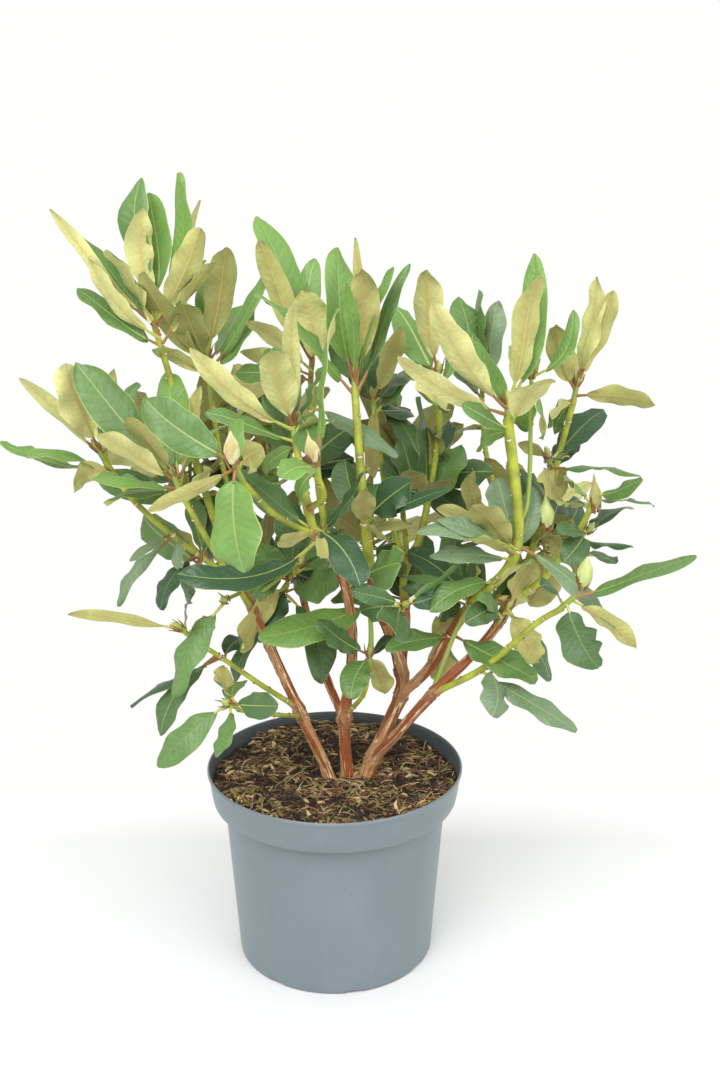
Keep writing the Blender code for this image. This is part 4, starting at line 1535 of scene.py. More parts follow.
WHORLS = (
    Whorl("left_top", "-152 20 589", Tone.FRESH, 3.6, 1, "-0.8 3 10 T 3 -0.4, -0.4 4 8.8 T 3.3 0.8,"
          "-0.2 0 7.6 U 2.4 -0.4, 2.4 2 10.4 T 2.3 1.2, 4.5 -1 6.1 U 2.5 0.3, 3.9 4 8.2 u 2.3 0.4,"
          "-7.6 -1 7.6 U 1.3 -0.3, -6.7 0.5 5.8 T 1.8 0.2, -3.1 -2 4.4 u 2.5 0.2, -4.5 -2 3.7 U 1.9 -0.6,"
          "5.5 1 3.2 u 2.1, -6.2 1 1.1 T 2.3 -0.3"),
    Whorl("left_high", "-112 70 541", Tone.FRESH, 2.4, 1, "2.2 -3 9.2 U 3, -0.5 2 5.7 T 1.7,"
          "-1.2 -7 5.2 U 2.5 -0.2, -3.8 -9 7.6 U 2.4 -0.6, 5.6 2 7.5 T 1.7 0.3, 3.8 3 3.8 T 2.4 0.4,"
          "-3.6 -7 1.2 U 1.4 0.2, 1.3 -5 -1 T 2.1"),
    Whorl("left_tip", "-199 0 470", Tone.FRESH, 2.6, 1, "-1.6 -3 7.5 U 3.2, -5.6 -2 6.2 U 1.7,"
          "1 4 6.1 u 1.8 -0.3, -2.5 5 6.5 T 1.8 0.3, -7.9 -1 0.6 t 2.1 -0.8, -5 -4 0.2 t 2.2 0.2,"
          "-0.9 -5 -2.5 U 2 1"),
    Whorl("left_front", "-129 -50 460", Tone.MID, 2.2, 2, "-2.9 -3 5.1 U 2.3 0.2, -7.7 2 8.6 T 3.5 -0.2,"
          "-5 -4 4 U 2, -1.2 8 7.1 T 3.4, 1.6 7 5.9 U 1.6, -6.3 -1 -0.2 t 2.4, -6.3 3 -3.3 t 2.3,"
          "-1.5 4 -3.2 T 2, 2.5 4.5 -0.8 u 2.1 0.3"),
    Whorl("left_tip", "-143 0 392", Tone.BLUISH, 1.0, 0, "-2.4 -5 -0.7 T 1.1, -4 -3 -5.3 T 1.4 0.3,"
          "1.6 -5 -1.3 T 1.9 -0.2, -2.3 5 0.2 u 1.9"),
    Whorl("left_inner", "-121 -10 374", Tone.DARK, 1.5, 2, "-2.3 -4 -3.1 T 2.1 0.4, -0.9 2.5 -4.8 T 1.7,"
          "-0.4 3 5 T 2.2, 1.6 4 4.3 T 2.6, -3 5 1.3 U 2.2, 0.5 5.5 0.7 T 2.4 0.4"),
    Whorl("front_left", "-72 -120 484", Tone.FRESH, 0.8, 0, "-6.8 2 4.5 T 3.3 -0.2, 0.8 -3 -7.8 T 4.4,"
          "-6.8 1 -4.1 U 1.4 -0.5, 1.7 6 0 U 2.7 0.2, -0.1 5 2.4 T 1.5"),
    Whorl("middle_left", "-33 -20 497", Tone.FRESH, 2.0, 1, "0.4 -3 9.8 U 1.6 0.2,"
          "-1.4 -4 6.4 U 2.9 -0.2, -7.9 -2 6.2 U 2.2 -0.6, 2.8 2 4.4 t 2.3, 3.2 -4.5 0.9 u 2.3 0.2,"
          "-6.8 -3 1.2 T 1.7 -0.2, -2.8 3 -4.8 T 2.2"),
    Whorl("middle_top", "-19 60 544", Tone.FRESH, 2.4, 1, "-4.8 3 11.3 T 3.3 0.4, 0.2 4 7.6 T 2.4 -0.4,"
          "-4.4 0 9.4 U 2.5 -0.3, -0.8 -2 5.3 U 3.4 0.5, -5.4 -3 2.8 U 1.9, -6.4 1 -0.3 U 1.9,"
          "-6.9 2 -2.2 T 2.8"),
    Whorl("middle_top", "-18 50 495", Tone.BLUISH, 0.5, 0, "7.3 -5 -3.2 T 2.1 0.3"),
    Whorl("front_middle", "-11 -90 479", Tone.FRESH, 0.8, 1, "1.6 2 11.4 t 3.2 -0.2, -2.4 -6 0 T 2.3 0.2,"
          "-1.5 3.5 -4.1 T 2.2"),
    Whorl("middle_high", "18 30 527", Tone.MID, 2.0, 1, "0.6 -3 9.1 U 2.6 0.3, -1.4 3 10.5 T 3.4 -0.7,"
          "-0.7 -4 8 T 1.4 0.2, 0 5 11.2 U 1.2 0.2, 3.3 0 9 t 2.6 -0.8, 4.7 2 9.2 T 1.4 0.2,"
          "-8.2 -1 7 t 3 0.3, 1.5 5 5.9 T 2"),
    Whorl("middle_back", "34 100 498", Tone.DARK, 1.6, 2, "2.4 -5 6.8 U 2.2 0.1, 2.2 5 1.3 T 2.6 0.4,"
          "-0.1 -7 -6.1 U 1.7 -0.3, 3.7 4 -2.2 T 2.2 0.3, 3.8 6 1.9 T 2.2"),
    Whorl("right_middle", "92 70 526", Tone.FRESH, 1.6, 1, "-1.2 -2 8.8 U 2.9 -0.4, -0.3 -8 -1.9 U 3.6,"
          "-3.2 3.5 2.3 T 1.7, -3.5 4 -1 T 1.7, 3.1 5 2.9 T 1.9"),
    Whorl("right_back", "138 140 504", Tone.BLUISH, 1.6, 1, "-2.1 3 7.7 T 3.6, 1.6 3 7.3 T 2.6 0.2,"
          "-0.2 4 8.2 t 2.2, -2.3 -4 5 T 2.8 0.4, -2.7 3.5 2.6 T 2.6"),
    Whorl("right_high", "143 -30 516", Tone.FRESH, 2.6, 0, "1.7 -2 10.2 U 3 0.2, 2 3 11.4 T 2.5 1.1,"
          "-6.5 -4 8.1 U 2.5 -0.4, -9.1 -4 4 U 1.8 -0.5, -3.7 2 4.7 T 2.2 0.5, 2.6 -6 2.5 U 2.7 -0.4,"
          "-4 -3.5 0.2 T 2 -0.2, -2 3 -4.6 T 2.5 0.2"),
    Whorl("right_high", "165 0 532", Tone.FRESH, 0.6, 0, "3.4 1 5.2 T 1.5 1.2, 0.7 -3 -4.9 t 2.9 0.2,"
          "-0.8 5 1.8 T 2.7, -0.3 2 -5.2 T 2.3", "153 -30 411, 162 -22 423, 165 -12 457, 165 -6 491"),
    Whorl("right_top", "212 50 518", Tone.FRESH, 1.6, 1, "2.3 -2 8 U 2, 1.1 -1 9.1 U 2.1,"
          "-2.5 -3 5.3 U 2.5 -0.3, 1.3 5 2.1 U 1.7, 6.2 -3 -1.5 U 2.1, -2.8 -3 -3.5 u 2,"
          "-1.6 2 -4.8 T 1.7"),
    Whorl("right_inner", "187 40 455", Tone.DARK, 1.6, 1, "-3 -4 2 U 1.2, 0.4 -5.5 0.9 U 2.1,"
          "-0.3 -6 -2.5 U 3, 7.6 -3 -1.2 t 2, 3.1 4.5 0.5 T 2.3"),
    Whorl("right_tip", "217 -30 438", Tone.MID, 1.4, 0, "2.9 -4 2.2 T 1.6 0.2, 4.3 -3 -0.3 t 1.5,"
          "-1.9 4.5 0.2 t 2.2, -1.2 5 -2.3 T 2.4"),
    Whorl("right_inner", "217 -10 401", Tone.DARK, 0.8, 0, "-3.3 -4 1.1 T 1.7 -0.2, -2.6 -3.5 -1.8 T 2.4,"
          "4.3 3 1.1 t 2.4 -0.4, 2.8 -4.5 -0.1 t 2.2 0.2"),
    Whorl("right_inner", "188 20 394", Tone.DARK, 1.6, 1, "2.2 -4 -2.6 u 3.6 0.3, 1.7 5 1.5 T 2.3,"
          "-1.3 1 -7.5 U 3.4, 3.9 3 -4.7 T 2.5"),
    Whorl("right_hanging", "152 -30 393", Tone.BLUISH, 0.6, 0, "7.8 -5 -5.5 T 1.7 0.1,"
          "1.7 3 4.4 T 2 0.3"),
    Whorl("centre_right", "152 -30 393", Tone.BLUISH, 1.2, 1, "-1.3 3 5.1 T 3, -8.4 -4 2.2 T 1.6 0.2,"
          "-3.9 -3 4.1 U 2.5, -6.7 -3 3 T 1.7 0.2, -4.6 -6 2.3 u 1.7, -6.4 3 2.5 U 1.8 0.2,"
          "-7.2 -2 -0.3 T 1.9"),
    Whorl("low_tip", "194 -90 368", Tone.DARK, 1.0, 0, "9.4 0 3.4 t 3.2 0.2, 5.4 1 -4.8 U 1.8 -0.2,"
          "1.6 -3 -4.9 T 4 0.5, -3.3 -4 2.2 t 1.9"),
    Whorl("low_right", "150 -20 336", Tone.DARK, 1.0, 0, "2.4 -3 -4 U 2.8 0.3, 4.2 2 -7.7 T 2.2 0.3,"
          "2.7 3.5 2.9 U 3.3, -3 -4 2.1 T 1.7"),
    Whorl("low_right", "133 -55 298", Tone.BLUISH, 1.0, 0, "-0.3 -4.5 -2.9 T 3 -0.2,"
          "6.9 -3 -4.9 T 2.3 0.2"),
    Whorl("low_right_middle", "105 -20 314", Tone.MID, 0.8, 0, "6.5 -5 -2.6 T 3 0.2,"
          "-6.1 -4 -0.3 T 2.3 -0.2, -1.8 3 -5.7 U 3.6, -1 5.5 -0.8 U 3.2"),
    Whorl("low_right_middle", "138 -30 360", Tone.MID, 0.8, 0, "-5.8 -3 -1.5 T 2.3 0.2,"
          "2.3 -3.5 3.1 u 1.7"),
    Whorl("low_centre", "59 -70 354", Tone.DARK, 0.8, 0, "-4.4 -2 1.9 T 1.5, 5.1 3 3.1 t 1.4,"
          "4.2 4 -0.2 T 2.1, -0.9 -6 -0.5 T 3.4, -3.6 3.5 -1.8 T 2.3"),
    Whorl("centre_left", "-16 -60 417", Tone.DARK, 1.0, 0, "3.9 -4 -3.7 T 3.3 -0.3, -6.4 3 4.1 T 2.8,"
          "-2.6 -4.5 0 U 1.2 -0.2, 0.8 -6 -0.9 U 1.1 -0.4, 4.5 0 5 t 1.7 0.4, 3.2 4 1.5 T 1.4 0.2,"
          "-10.7 -3 -3 T 2.7 -2.4"),
    Whorl("centre", "28 -20 414", Tone.DARK, 1.0, 1, "3.7 -2 3.7 T 3.6 -0.2, 6.5 -5 3.7 T 1.3 0.2,"
          "-0.1 -4 3.5 U 2, -1.8 3 4.4 T 2.9, 1.8 -5 -0.6 u 2 0.2, 3.7 -4 0.6 U 1.2"),
    Whorl("centre", "24 -30 369", Tone.MID, 0.3, 0, "3.2 -4 2.1 T 3.9"),
    Whorl("centre_right", "83 50 419", Tone.DARK, 1.2, 1, "1.5 -4.5 2.4 U 2, -1.9 -4 3.1 U 2.3,"
          "-0.7 1 8.5 t 3.3 0.2, 3.1 3 3.7 T 3.8, -2.2 4 4 T 2.9 -0.3, -3.8 3 2.1 T 2.5"),
    Whorl("low_centre", "38 0 335", Tone.MID, 0.4, 0, "-10 -6 -1.3 T 3.3 -0.5"),
    Whorl("left_inner", "-40 30 345", Tone.DARK, 1.6, 1, "-3.4 -4 -0.9 T 2.4 0.3, -2.6 -4 -4.6 T 3.3,"
          "-3.8 -8 -3.8 U 2.5 -0.3, -4.7 -5 -8.1 T 1.7 -0.3, -3.8 1 -4.9 T 2.3, 4.5 -4 0.8 T 3.6,"
          "3 -5 -8.1 T 3.1, -2.1 4 -3.4 U 2.7"),
    Whorl("left_inner", "-30 20 363", Tone.DARK, 1.2, 1, "-3.4 -4 1.4 T 2.7 -0.3, -7.4 -1 0.1 T 3.1 0.4,"
          "3.9 3.5 0.6 T 2.9, -1 3 4.9 T 3.2"),
    Whorl("low_left", "-128 -50 327", Tone.DARK, 0.8, 0, "-9.3 0 1.2 U 1.3 0.2, 1.3 -4 3.4 t 1.3,"
          "2.4 4.5 -1.4 U 2"),
    Whorl("low_left", "-88 -60 355", Tone.DARK, 0.4, 0, "-4.3 -2 -7.8 T 2.6 0.3"),
    Whorl("low_left", "-101 -40 299", Tone.DARK, 0.8, 0, "-4.4 -3 -6.1 T 2.4 0.4, -7.2 -1 -4.3 t 1.8,"
          "2.1 5 -0.5 T 1.9"),
    Whorl("lowest_left", "-83 -110 285", Tone.DARK, 1.0, 0, "-5.7 -1 -5.1 T 2.6 0.2,"
          "-0.6 -4.2 -2.7 T 1.8 -0.2, 4.2 -3 1 T 2.3, 0.7 5.5 -0.5 T 2.1, -0.8 5.5 0.9 u 2.3 -0.2"),
    Whorl("low_shoot", "31 -30 297", Tone.DARK, 0.5, 0, "-4.3 -3 4 T 2.1 -0.2, -1.6 -4.5 -2.3 T 2.6 0.2,"
          "1.3 2.5 -4.8 U 2.4, 2.5 3.5 0.2 T 1.1"),
    Whorl("low_right_middle", "120 -22 346", Tone.DARK, 1.2, 1, "-5.6 3 3 T 2.9, -6 0 1.7 T 1.3 0.2,"
          "-6.2 -1 1.1 T 1.3 -0.2, -0.7 5.5 1 U 2.8, 0.7 5 1.9 T 2.2, -2.6 3.5 -2.8 T 2.2"),
    Whorl("low_right", "142 -20 341", Tone.DARK, 0.8, 0, "-3.3 -4.5 -0.4 T 2.1, -1 5 -2.2 T 2.1,"
          "2.3 5 0.7 T 2.4"),
    Whorl("centre", "60 30 325", Tone.DARK, 0.8, 1, "-6.4 1 -0.4 T 2.5 0.3, 2.3 4 2.5 T 2.5,"
          "-1.9 3 4.2 T 2.7, -3 -4.5 0.4 T 2.2"),
)

SHOOT_ROUTES = ("84 -26 254, 98 -34 301, 107 -34 325, 116 -32 342",
                "32 -30 296, 32 -32 320, 30 -30 345")


@dataclass(frozen=True)
class Spray:
    """A seeded spray of whorls at the end of a bough that the front view hides."""

    mass: str
    limb: str
    reach: float = 9.5           # length of a leaf, in centimetres
    leaves: int = 9
    shoots: int = 2              # side shoots below the end whorl
    shoot_length: float = 5.0    # in centimetres
    tone: Tone = Tone.MID
    node: str = ""               # its bud's place, when that isn't at the bough's end


SPRAYS = (
    Spray("back_left", "bough_back_left"),
    Spray("back_middle", "bough_back_middle"),
    Spray("back_right_middle", "bough_back_right_middle"),
    Spray("back_right", "bough_back_right", reach=8.5),
    Spray("back_low_left", "bough_back_middle", shoots=0, tone=Tone.DARK,
          node="-66 108 340"),
    Spray("back_low_right", "bough_back_right_middle", shoots=0, tone=Tone.DARK,
          node="30 124 348"),
)


@dataclass(frozen=True)
class Shoot:
    """The end of a shoot: its mass, its bud's place, its direction and its tone."""

    mass: str
    node: Vector
    way: Vector
    tone: Tone


@dataclass
class Foliage:
    """All the leaves, gathered into one piece for each mass, with their twigs."""

    skeleton: Skeleton
    maker: LeafMaker
    rng: Random
    twig_step: float = 0.006
    thin: tuple[float, float] = (0.0021, 0.0017)     # radii of a thin twig at its two ends
    stout: float = 0.0024        # radius of a stout twig
    sunk: float = 0.004          # how far inside its limb's tip a twig starts
    beside: float = 0.012        # gap past which a whorl beside a limb has its own twig
    piles: dict[str, Pile] = field(default_factory=dict)
    twigs: list[tuple] = field(default_factory=list)
    buds: list[Pair] = field(default_factory=list)   # the place and direction of each
    rings: list[tuple] = field(default_factory=list)

    def twig(self, stops: list[Vector], foot: float, top: float) -> list[Vector]:
        """Note a twig through some stops, with the radius of each end, and return its route."""
        self.twigs.append((smooth_route(stops, self.twig_step), foot, top))
        return self.twigs[-1][0]

    def short_twig(self, start: Vector, end: Vector, radii: tuple, sag: float = 0.0) -> None:
        """Note a twig between two places, whose middle may sag."""
        self.twig([start, start.lerp(end, 0.5) - UP * sag, end], *radii)

    def grow(self) -> None:
        """Grow every whorl and every spray."""
        for whorl in WHORLS:
            self.grow_whorl(whorl)
        for route in SHOOT_ROUTES:
            self.twig(read_places(route), self.stout, 0.0019)
        for spray in SPRAYS:
            self.grow_spray(spray)

    def grow_whorl(self, whorl: Whorl) -> None:
        """Grow one whorl: its twig, its leaves and its bud.

        Args:
            whorl: The whorl.
        """
        node = base = read_places(whorl.node)[0]
        limb = min(self.skeleton.limbs.values(),
                   key=lambda limb: (limb.path[limb.nearest(node)] - node).length)
        index = limb.nearest(node)
        near, shoot = limb.path[index], limb.direction(index)
        at_tip, gap = index > len(limb.path) - 6, (node - near).length
        if whorl.route:
            route = self.twig([*read_places(whorl.route), node], *self.thin)
            shoot = (route[-1] - route[-3]).normalized()
        elif at_tip and gap > self.sunk:
            radii = (limb.radius(1.0), self.stout)
            self.short_twig(near - shoot * self.sunk, node, radii)
        elif gap > self.beside:
            start = limb.path[max(index - 6, 0)]
            self.short_twig(start, node, (self.thin[1], self.thin[1]))
            shoot = ((node - start).normalized() * 0.6 + shoot * 0.4).normalized()
        elif not at_tip:
            base = near
            self.rings.append((limb, index))
        if base is node:
            self.buds.append((node, shoot))
        self.grow_leaves(whorl, Shoot(whorl.mass, node, shoot, whorl.tone), base)

    def grow_leaves(self, whorl: Whorl, shoot: Shoot, base: Vector) -> None:
        """Grow the leaves of a whorl.

        Args:
            whorl: The whorl.
            shoot: Its shoot.
            base: The place on the shoot that its leaves spread down from.
        """
        rng, tips = self.rng, whorl.tips.split(",")
        cups = (0.10, 0.40) if whorl.tone is Tone.FRESH else (-0.25, 0.25)
        for number, tip in enumerate(tips):
            across, back, up, face, *shape = tip.split()
            offset = Vector((float(across), float(back), float(up))) * CENTIMETRE
            low = 0.002 + whorl.spread * CENTIMETRE * number / max(len(tips) - 1, 1)
            leaf = Leaf(base - shoot.way * low, shoot.node + offset, shoot.way, shoot.tone,
                        Face(face), *map(float, shape))
            upright = offset.normalized().dot(shoot.way)
            leaf.droop = rng.uniform(0.05, 0.35) + 0.35 * max(0.0, 0.5 - upright)
            leaf.cup = rng.uniform(*cups)
            self.add(shoot.mass, leaf)
        for number in range(whorl.extra):
            bearing = radians(35.0 + 110.0 * (number + rng.random()) / whorl.extra)
            self.seeded(shoot, 0.008 + 0.004 * number, bearing, rng.uniform(15.0, 50.0),
                        rng.uniform(6.5, 8.5))

    def add(self, mass: str, leaf: Leaf) -> None:
        """Add a leaf to the pile of its mass."""
        self.maker.add(self.piles.setdefault(mass, Pile()), leaf)

    def seeded(self, shoot: Shoot, low: float, bearing: float, lift: float,
               reach: float) -> None:
        """Grow one leaf by rule.

        Args:
            shoot: The shoot it grows on.
            low: How far below the shoot's end it grows.
            bearing: Its bearing on the level, in radians from +X.
            lift: Its angle above the level, in degrees.
            reach: Its length, in centimetres.
        """
        angle, foot = radians(lift), shoot.node - shoot.way * low
        way = Vector((cos(bearing) * cos(angle), sin(bearing) * cos(angle), sin(angle)))
        leaf = Leaf(foot, foot + way * reach * CENTIMETRE, shoot.way, shoot.tone)
        leaf.droop = self.rng.uniform(0.1, 0.55)
        leaf.cup = self.rng.uniform(-0.15, 0.30)
        self.add(shoot.mass, leaf)

    def grow_spray(self, spray: Spray) -> None:
        """Grow the end whorl of a hidden bough and the side shoots below it.

        Args:
            spray: The spray.
        """
        limb = self.skeleton.limbs[spray.limb]
        if spray.node:
            node = read_places(spray.node)[0]
            index = limb.nearest(node)
            start = limb.path[index]
            shoot = ((node - start).normalized() * 0.7 + UP * 0.5).normalized()
            self.short_twig(start, node, (self.stout, 0.0018))
        else:
            index = len(limb.path) - 1
            start, shoot = limb.path[index], limb.direction(index)
            node = start + shoot * self.beside
            self.twig([start - shoot * self.sunk, node], limb.radius(1.0), self.stout)
        self.ring(Shoot(spray.mass, node, shoot, spray.tone), spray.leaves, spray.reach)
        for number in range(spray.shoots):
            start = limb.path[max(index - 5 - 7 * number, 0)]
            bearing = GOLDEN_ANGLE * (number + 1) + sum(map(ord, "leaves_" + spray.mass))
            way = Vector((cos(bearing), sin(bearing), 0.65)).normalized()
            end = start + way * spray.shoot_length * CENTIMETRE
            self.short_twig(start, end, self.thin, sag=0.003)
            shoot = Shoot(spray.mass, end, (way + UP * 0.4).normalized(), Tone.DARK)
            self.ring(shoot, spray.leaves - 3, spray.reach - 1.5)

    def ring(self, shoot: Shoot, count: int, reach: float) -> None:
        """Grow a whorl of seeded leaves at golden angles round a shoot's end.

        Args:
            shoot: The shoot.
            count: Number of its leaves.
            reach: Their length, in centimetres.
        """
        self.buds.append((shoot.node, shoot.way))
        start = self.rng.uniform(0.0, 2.0 * pi)
        for number in range(count):
            share = number / max(count - 1, 1)
            lift = 58.0 - 62.0 * share + self.rng.uniform(-9.0, 9.0)
            self.seeded(shoot, 0.002 + 0.018 * share, start + GOLDEN_ANGLE * number, lift,
                        reach * self.rng.uniform(0.82, 1.02))

    def build(self) -> None:
        """Join the leaves of each mass into one piece."""
        for mass, pile in self.piles.items():
            piece = pile.build(f"leaves_{mass}_grown", LEAF_FINISHES, "leaf_place")
            finish_piece(piece, "leaf", "leaves_" + mass)


# --- Twigs, leaf scars and buds ---


@dataclass
class Shoots:
    """The thin green shoots that carry whorls beyond the limbs, and the scars of fallen leaves."""

    skeleton: Skeleton
    foliage: Foliage
    twig_sides: int = 9
    scar_pitch: float = 0.0125
    scar_width: float = 0.0050
    scar_corners: int = 10
    finish: PlainFinish = PlainFinish("twig_green", (0.27, 0.36, 0.060), 0.45)
    scar_finishes: tuple[PlainFinish, ...] = (
        PlainFinish("scar_rim", (0.115, 0.050, 0.020), 0.7),
        PlainFinish("scar_face", (0.68, 0.56, 0.37), 0.7))
    scars: Pile = field(default_factory=Pile)
    rng: Random = field(default_factory=lambda: Random(5))

    def build(self) -> None:
        """Build the twigs and the scars."""
        twigs = Pile()
        for route, foot, top in self.foliage.twigs:
            last = len(route) - 1
            radii = [foot + (top - foot) * number / last for number in range(last + 1)]
            twigs.add(*tube(route, radii, self.twig_sides), 0)
        finish_piece(twigs.build("twigs", (self.finish,)), "young_bark")
        for limb in self.skeleton.limbs.values():
            self.scar_limb(limb)
        for limb, index in self.foliage.rings:
            turn = self.rng.uniform(0.0, 6.0)
            for number in range(1, 5):
                self.add_scar(limb, index, turn + GOLDEN_ANGLE * number,
                              self.rng.uniform(0.0, 0.007), self.rng.uniform(0.8, 1.3))
        finish_piece(self.scars.build("leaf_scars", self.scar_finishes), "young_bark")

    def scar_limb(self, limb: Limb) -> None:
        """Set a leaf scar on a limb's young bark at each step of a spiral.

        Args:
            limb: The limb.
        """
        length, due, turn = 0.0, self.rng.uniform(0.012, 0.02), self.rng.uniform(0.0, 6.0)
        for index in range(1, len(limb.path) - 1):
            length += (limb.path[index] - limb.path[index - 1]).length
            if length < due or limb.path[index].z < limb.green_from - 0.01:
                continue
            due = length + self.scar_pitch * self.rng.uniform(0.6, 1.5)
            turn += GOLDEN_ANGLE
            self.add_scar(limb, index, turn, 0.0, self.rng.uniform(0.65, 1.1))

    def add_scar(self, limb: Limb, index: int, turn: float, back: float, size: float) -> None:
        """Lay a raised crescent on a limb.

        Args:
            limb: The limb.
            index: The point of its path that the scar is at.
            turn: The side of the limb it is on, in radians.
            back: How far back from the point it lies.
            size: Its size against the common one.
        """
        corners = self.scar_corners
        along, out = limb.direction(index), around(limb.frames[index], turn)
        centre, radius = limb.path[index] - along * back, limb.radius_at(index)
        pair = out, along.cross(out)
        wide = self.scar_width * size
        points = []
        for scale, lift in ((1.0, -0.0002), (0.80, 0.0007), (0.46, 0.0008)):
            for step in range(corners):
                angle = 2.0 * pi * step / corners
                x = cos(angle) * wide * 0.5 * scale
                y = sin(angle) * wide * 0.24 * scale
                y -= wide * (0.30 * (2.0 * x / wide) ** 2 - 0.10)
                points.append(centre + around(pair, x / radius) * (radius + lift) - along * y)
        faces = [(a, d, c, b) for a, b, c, d in bands(3, corners)]
        faces += [tuple(range(3 * corners - 1, 2 * corners - 1, -1)), tuple(range(corners))]
        self.scars.add(points, faces, [0] * corners + [1] * (corners + 1) + [0])


class BudTint(IntEnum):
    """The finishes of the buds, by their numbers in Buds.finishes."""

    IVORY = 0
    GREEN = 1
    BRACT = 2
    TAN = 3
    PALE_GREEN = 4
    BROWN_GREEN = 5


@dataclass(frozen=True)
class Bud:
    """A bud: its place, its size, its finish, its shape and how far its tip leans right."""

    place: Place
    length: float = 0.011
    width: float = 0.0058
    finish: BudTint = BudTint.GREEN
    beaked: bool = False
    lean: float = 0.0


BIG_BUDS = (
    Bud((-0.073, -0.121, 0.483), 0.0250, 0.0116, BudTint.IVORY, False, -0.02),
    Bud((-0.012, -0.092, 0.478), 0.0215, 0.0108, BudTint.IVORY, False, -0.25),
    Bud((0.200, -0.088, 0.376), 0.0250, 0.0128, BudTint.PALE_GREEN, False, 0.12),
    Bud((0.181, -0.012, 0.404), 0.0310, 0.0130, BudTint.PALE_GREEN, True, -0.05),
    Bud((0.219, -0.030, 0.425), 0.0300, 0.0100, BudTint.BROWN_GREEN, True, -0.12),
)


@dataclass
class Buds:
    """The buds at the shoots' ends: overlapping scales round a core, with brown bracts."""

    foliage: Foliage
    scale_count: int = 10
    bract_count: int = 6
    clear: float = 0.02          # no small bud sits nearer than this to a big one
    levels: tuple[float, ...] = (0.0, 0.10, 0.22, 0.36, 0.50, 0.64, 0.78, 0.90, 1.0)
    plump: tuple[float, ...] = (0.50, 0.78, 0.95, 1.0, 0.95, 0.78, 0.50, 0.24, 0.04)
    flask: tuple[float, ...] = (0.50, 0.78, 0.96, 1.0, 0.84, 0.50, 0.28, 0.17, 0.03)
    finishes: tuple[PlainFinish, ...] = (
        PlainFinish("bud_ivory", (0.62, 0.61, 0.33)),
        PlainFinish("bud_green", (0.42, 0.47, 0.12)),
        PlainFinish("bud_bract", (0.27, 0.125, 0.045), 0.6),
        PlainFinish("bud_tan", (0.50, 0.41, 0.17), 0.55),
        PlainFinish("bud_pale_green", (0.50, 0.56, 0.21)),
        PlainFinish("bud_brown_green", (0.36, 0.34, 0.11), 0.55),
    )
    pile: Pile = field(default_factory=Pile)
    rng: Random = field(default_factory=lambda: Random(9))

    def build(self) -> None:
        """Build every bud as one joined piece."""
        for node, shoot in self.foliage.buds:
            if min((Vector(bud.place) - node).length for bud in BIG_BUDS) > self.clear:
                self.add_bud(Bud(node - shoot * 0.002), shoot)
                self.add_bracts(node, shoot)
        for bud in BIG_BUDS:
            shoot = Vector((bud.lean, 0.0, 1.0)).normalized()
            self.add_bud(bud, shoot)
            self.add_bracts(Vector(bud.place), shoot)
        finish_piece(self.pile.build("buds", self.finishes), "leaf")

    def add_bud(self, bud: Bud, shoot: Vector) -> None:
        """Add one bud of overlapping scales.

        Args:
            bud: The bud.
            shoot: Its direction.
        """
        shape = self.flask if bud.beaked else self.plump
        core = [Vector(bud.place) + shoot * bud.length * level for level in self.levels]
        self.pile.add(*tube(core, [0.47 * bud.width * share for share in shape], 12), bud.finish)
        for number in range(self.scale_count):
            share = number / (self.scale_count - 1)
            turn = GOLDEN_ANGLE * number + self.rng.uniform(-0.15, 0.15)
            ends = 0.36 * share, min(0.32 + 0.74 * share, 1.0)
            tanned = bud.finish is BudTint.IVORY and number % 3 == 1
            finish = BudTint.TAN if tanned else bud.finish
            self.add_scale(bud, shoot, turn, ends, BudTint.BRACT if number < 2 else finish)

    def add_scale(self, bud: Bud, shoot: Vector, turn: float, ends: tuple[float, float],
                  finish: int) -> None:
        """Add one scale of a bud: a small curved shield with a pointed tip.

        Args:
            bud: The bud it is on.
            shoot: The bud's direction.
            turn: The side of the bud it is on, in radians.
            ends: Shares of the bud's length where it starts and ends.
            finish: Its finish.
        """
        pair = pair_across(shoot)
        shape = self.flask if bud.beaked else self.plump
        outer, inner = [], []
        for share in (0.0, 0.2, 0.4, 0.6, 0.8, 1.0):
            level = ends[0] + (ends[1] - ends[0]) * share
            belly = 0.5 * bud.width * float(np.interp(level, self.levels, shape))
            reach = 0.95 * (1.0 - share ** 2.0) + 0.04
            middle = Vector(bud.place) + shoot * bud.length * level
            for step in (-1.0, 0.0, 1.0):
                way = around(pair, turn + step * reach)
                lift = 1.05 - 0.07 * abs(step) + 0.03 * share
                outer.append(middle + way * (belly * lift + 0.0002))
                inner.append(middle + way * (belly * (lift - 0.10)))
        size, faces = len(outer), []
        for a in (row + step for row in range(0, size - 3, 3) for step in (0, 1)):
            faces.append((a, a + 1, a + 4, a + 3))
            faces.append((size + a + 3, size + a + 4, size + a + 1, size + a))
        border = [0, 1, *range(2, size, 3), size - 2, *range(size - 3, 0, -3)]
        for first, second in zip(border, border[1:] + border[:1]):
            faces.append((first, size + first, size + second, second))
        self.pile.add(outer + inner, faces, finish)

    def add_bracts(self, node: Vector, shoot: Vector) -> None:
        """Add the thin brown bracts round the foot of a bud.

        Args:
            node: The bud's foot.
            shoot: The bud's direction.
        """
        pair = pair_across(shoot)
        for number in range(self.bract_count):
            way = around(pair, GOLDEN_ANGLE * number + self.rng.uniform(-0.3, 0.3))
            length = self.rng.uniform(0.007, 0.015)
            start = node - shoot * 0.004 + way * 0.0022
            middle = start + shoot * length * 0.5 + way * 0.0022
            end = start + shoot * length + way * self.rng.uniform(0.001, 0.005)
            self.pile.add(*tube([start, middle, end], [0.0008, 0.0007, 0.0002], 5), BudTint.BRACT)


# --- Floor, light and camera ---


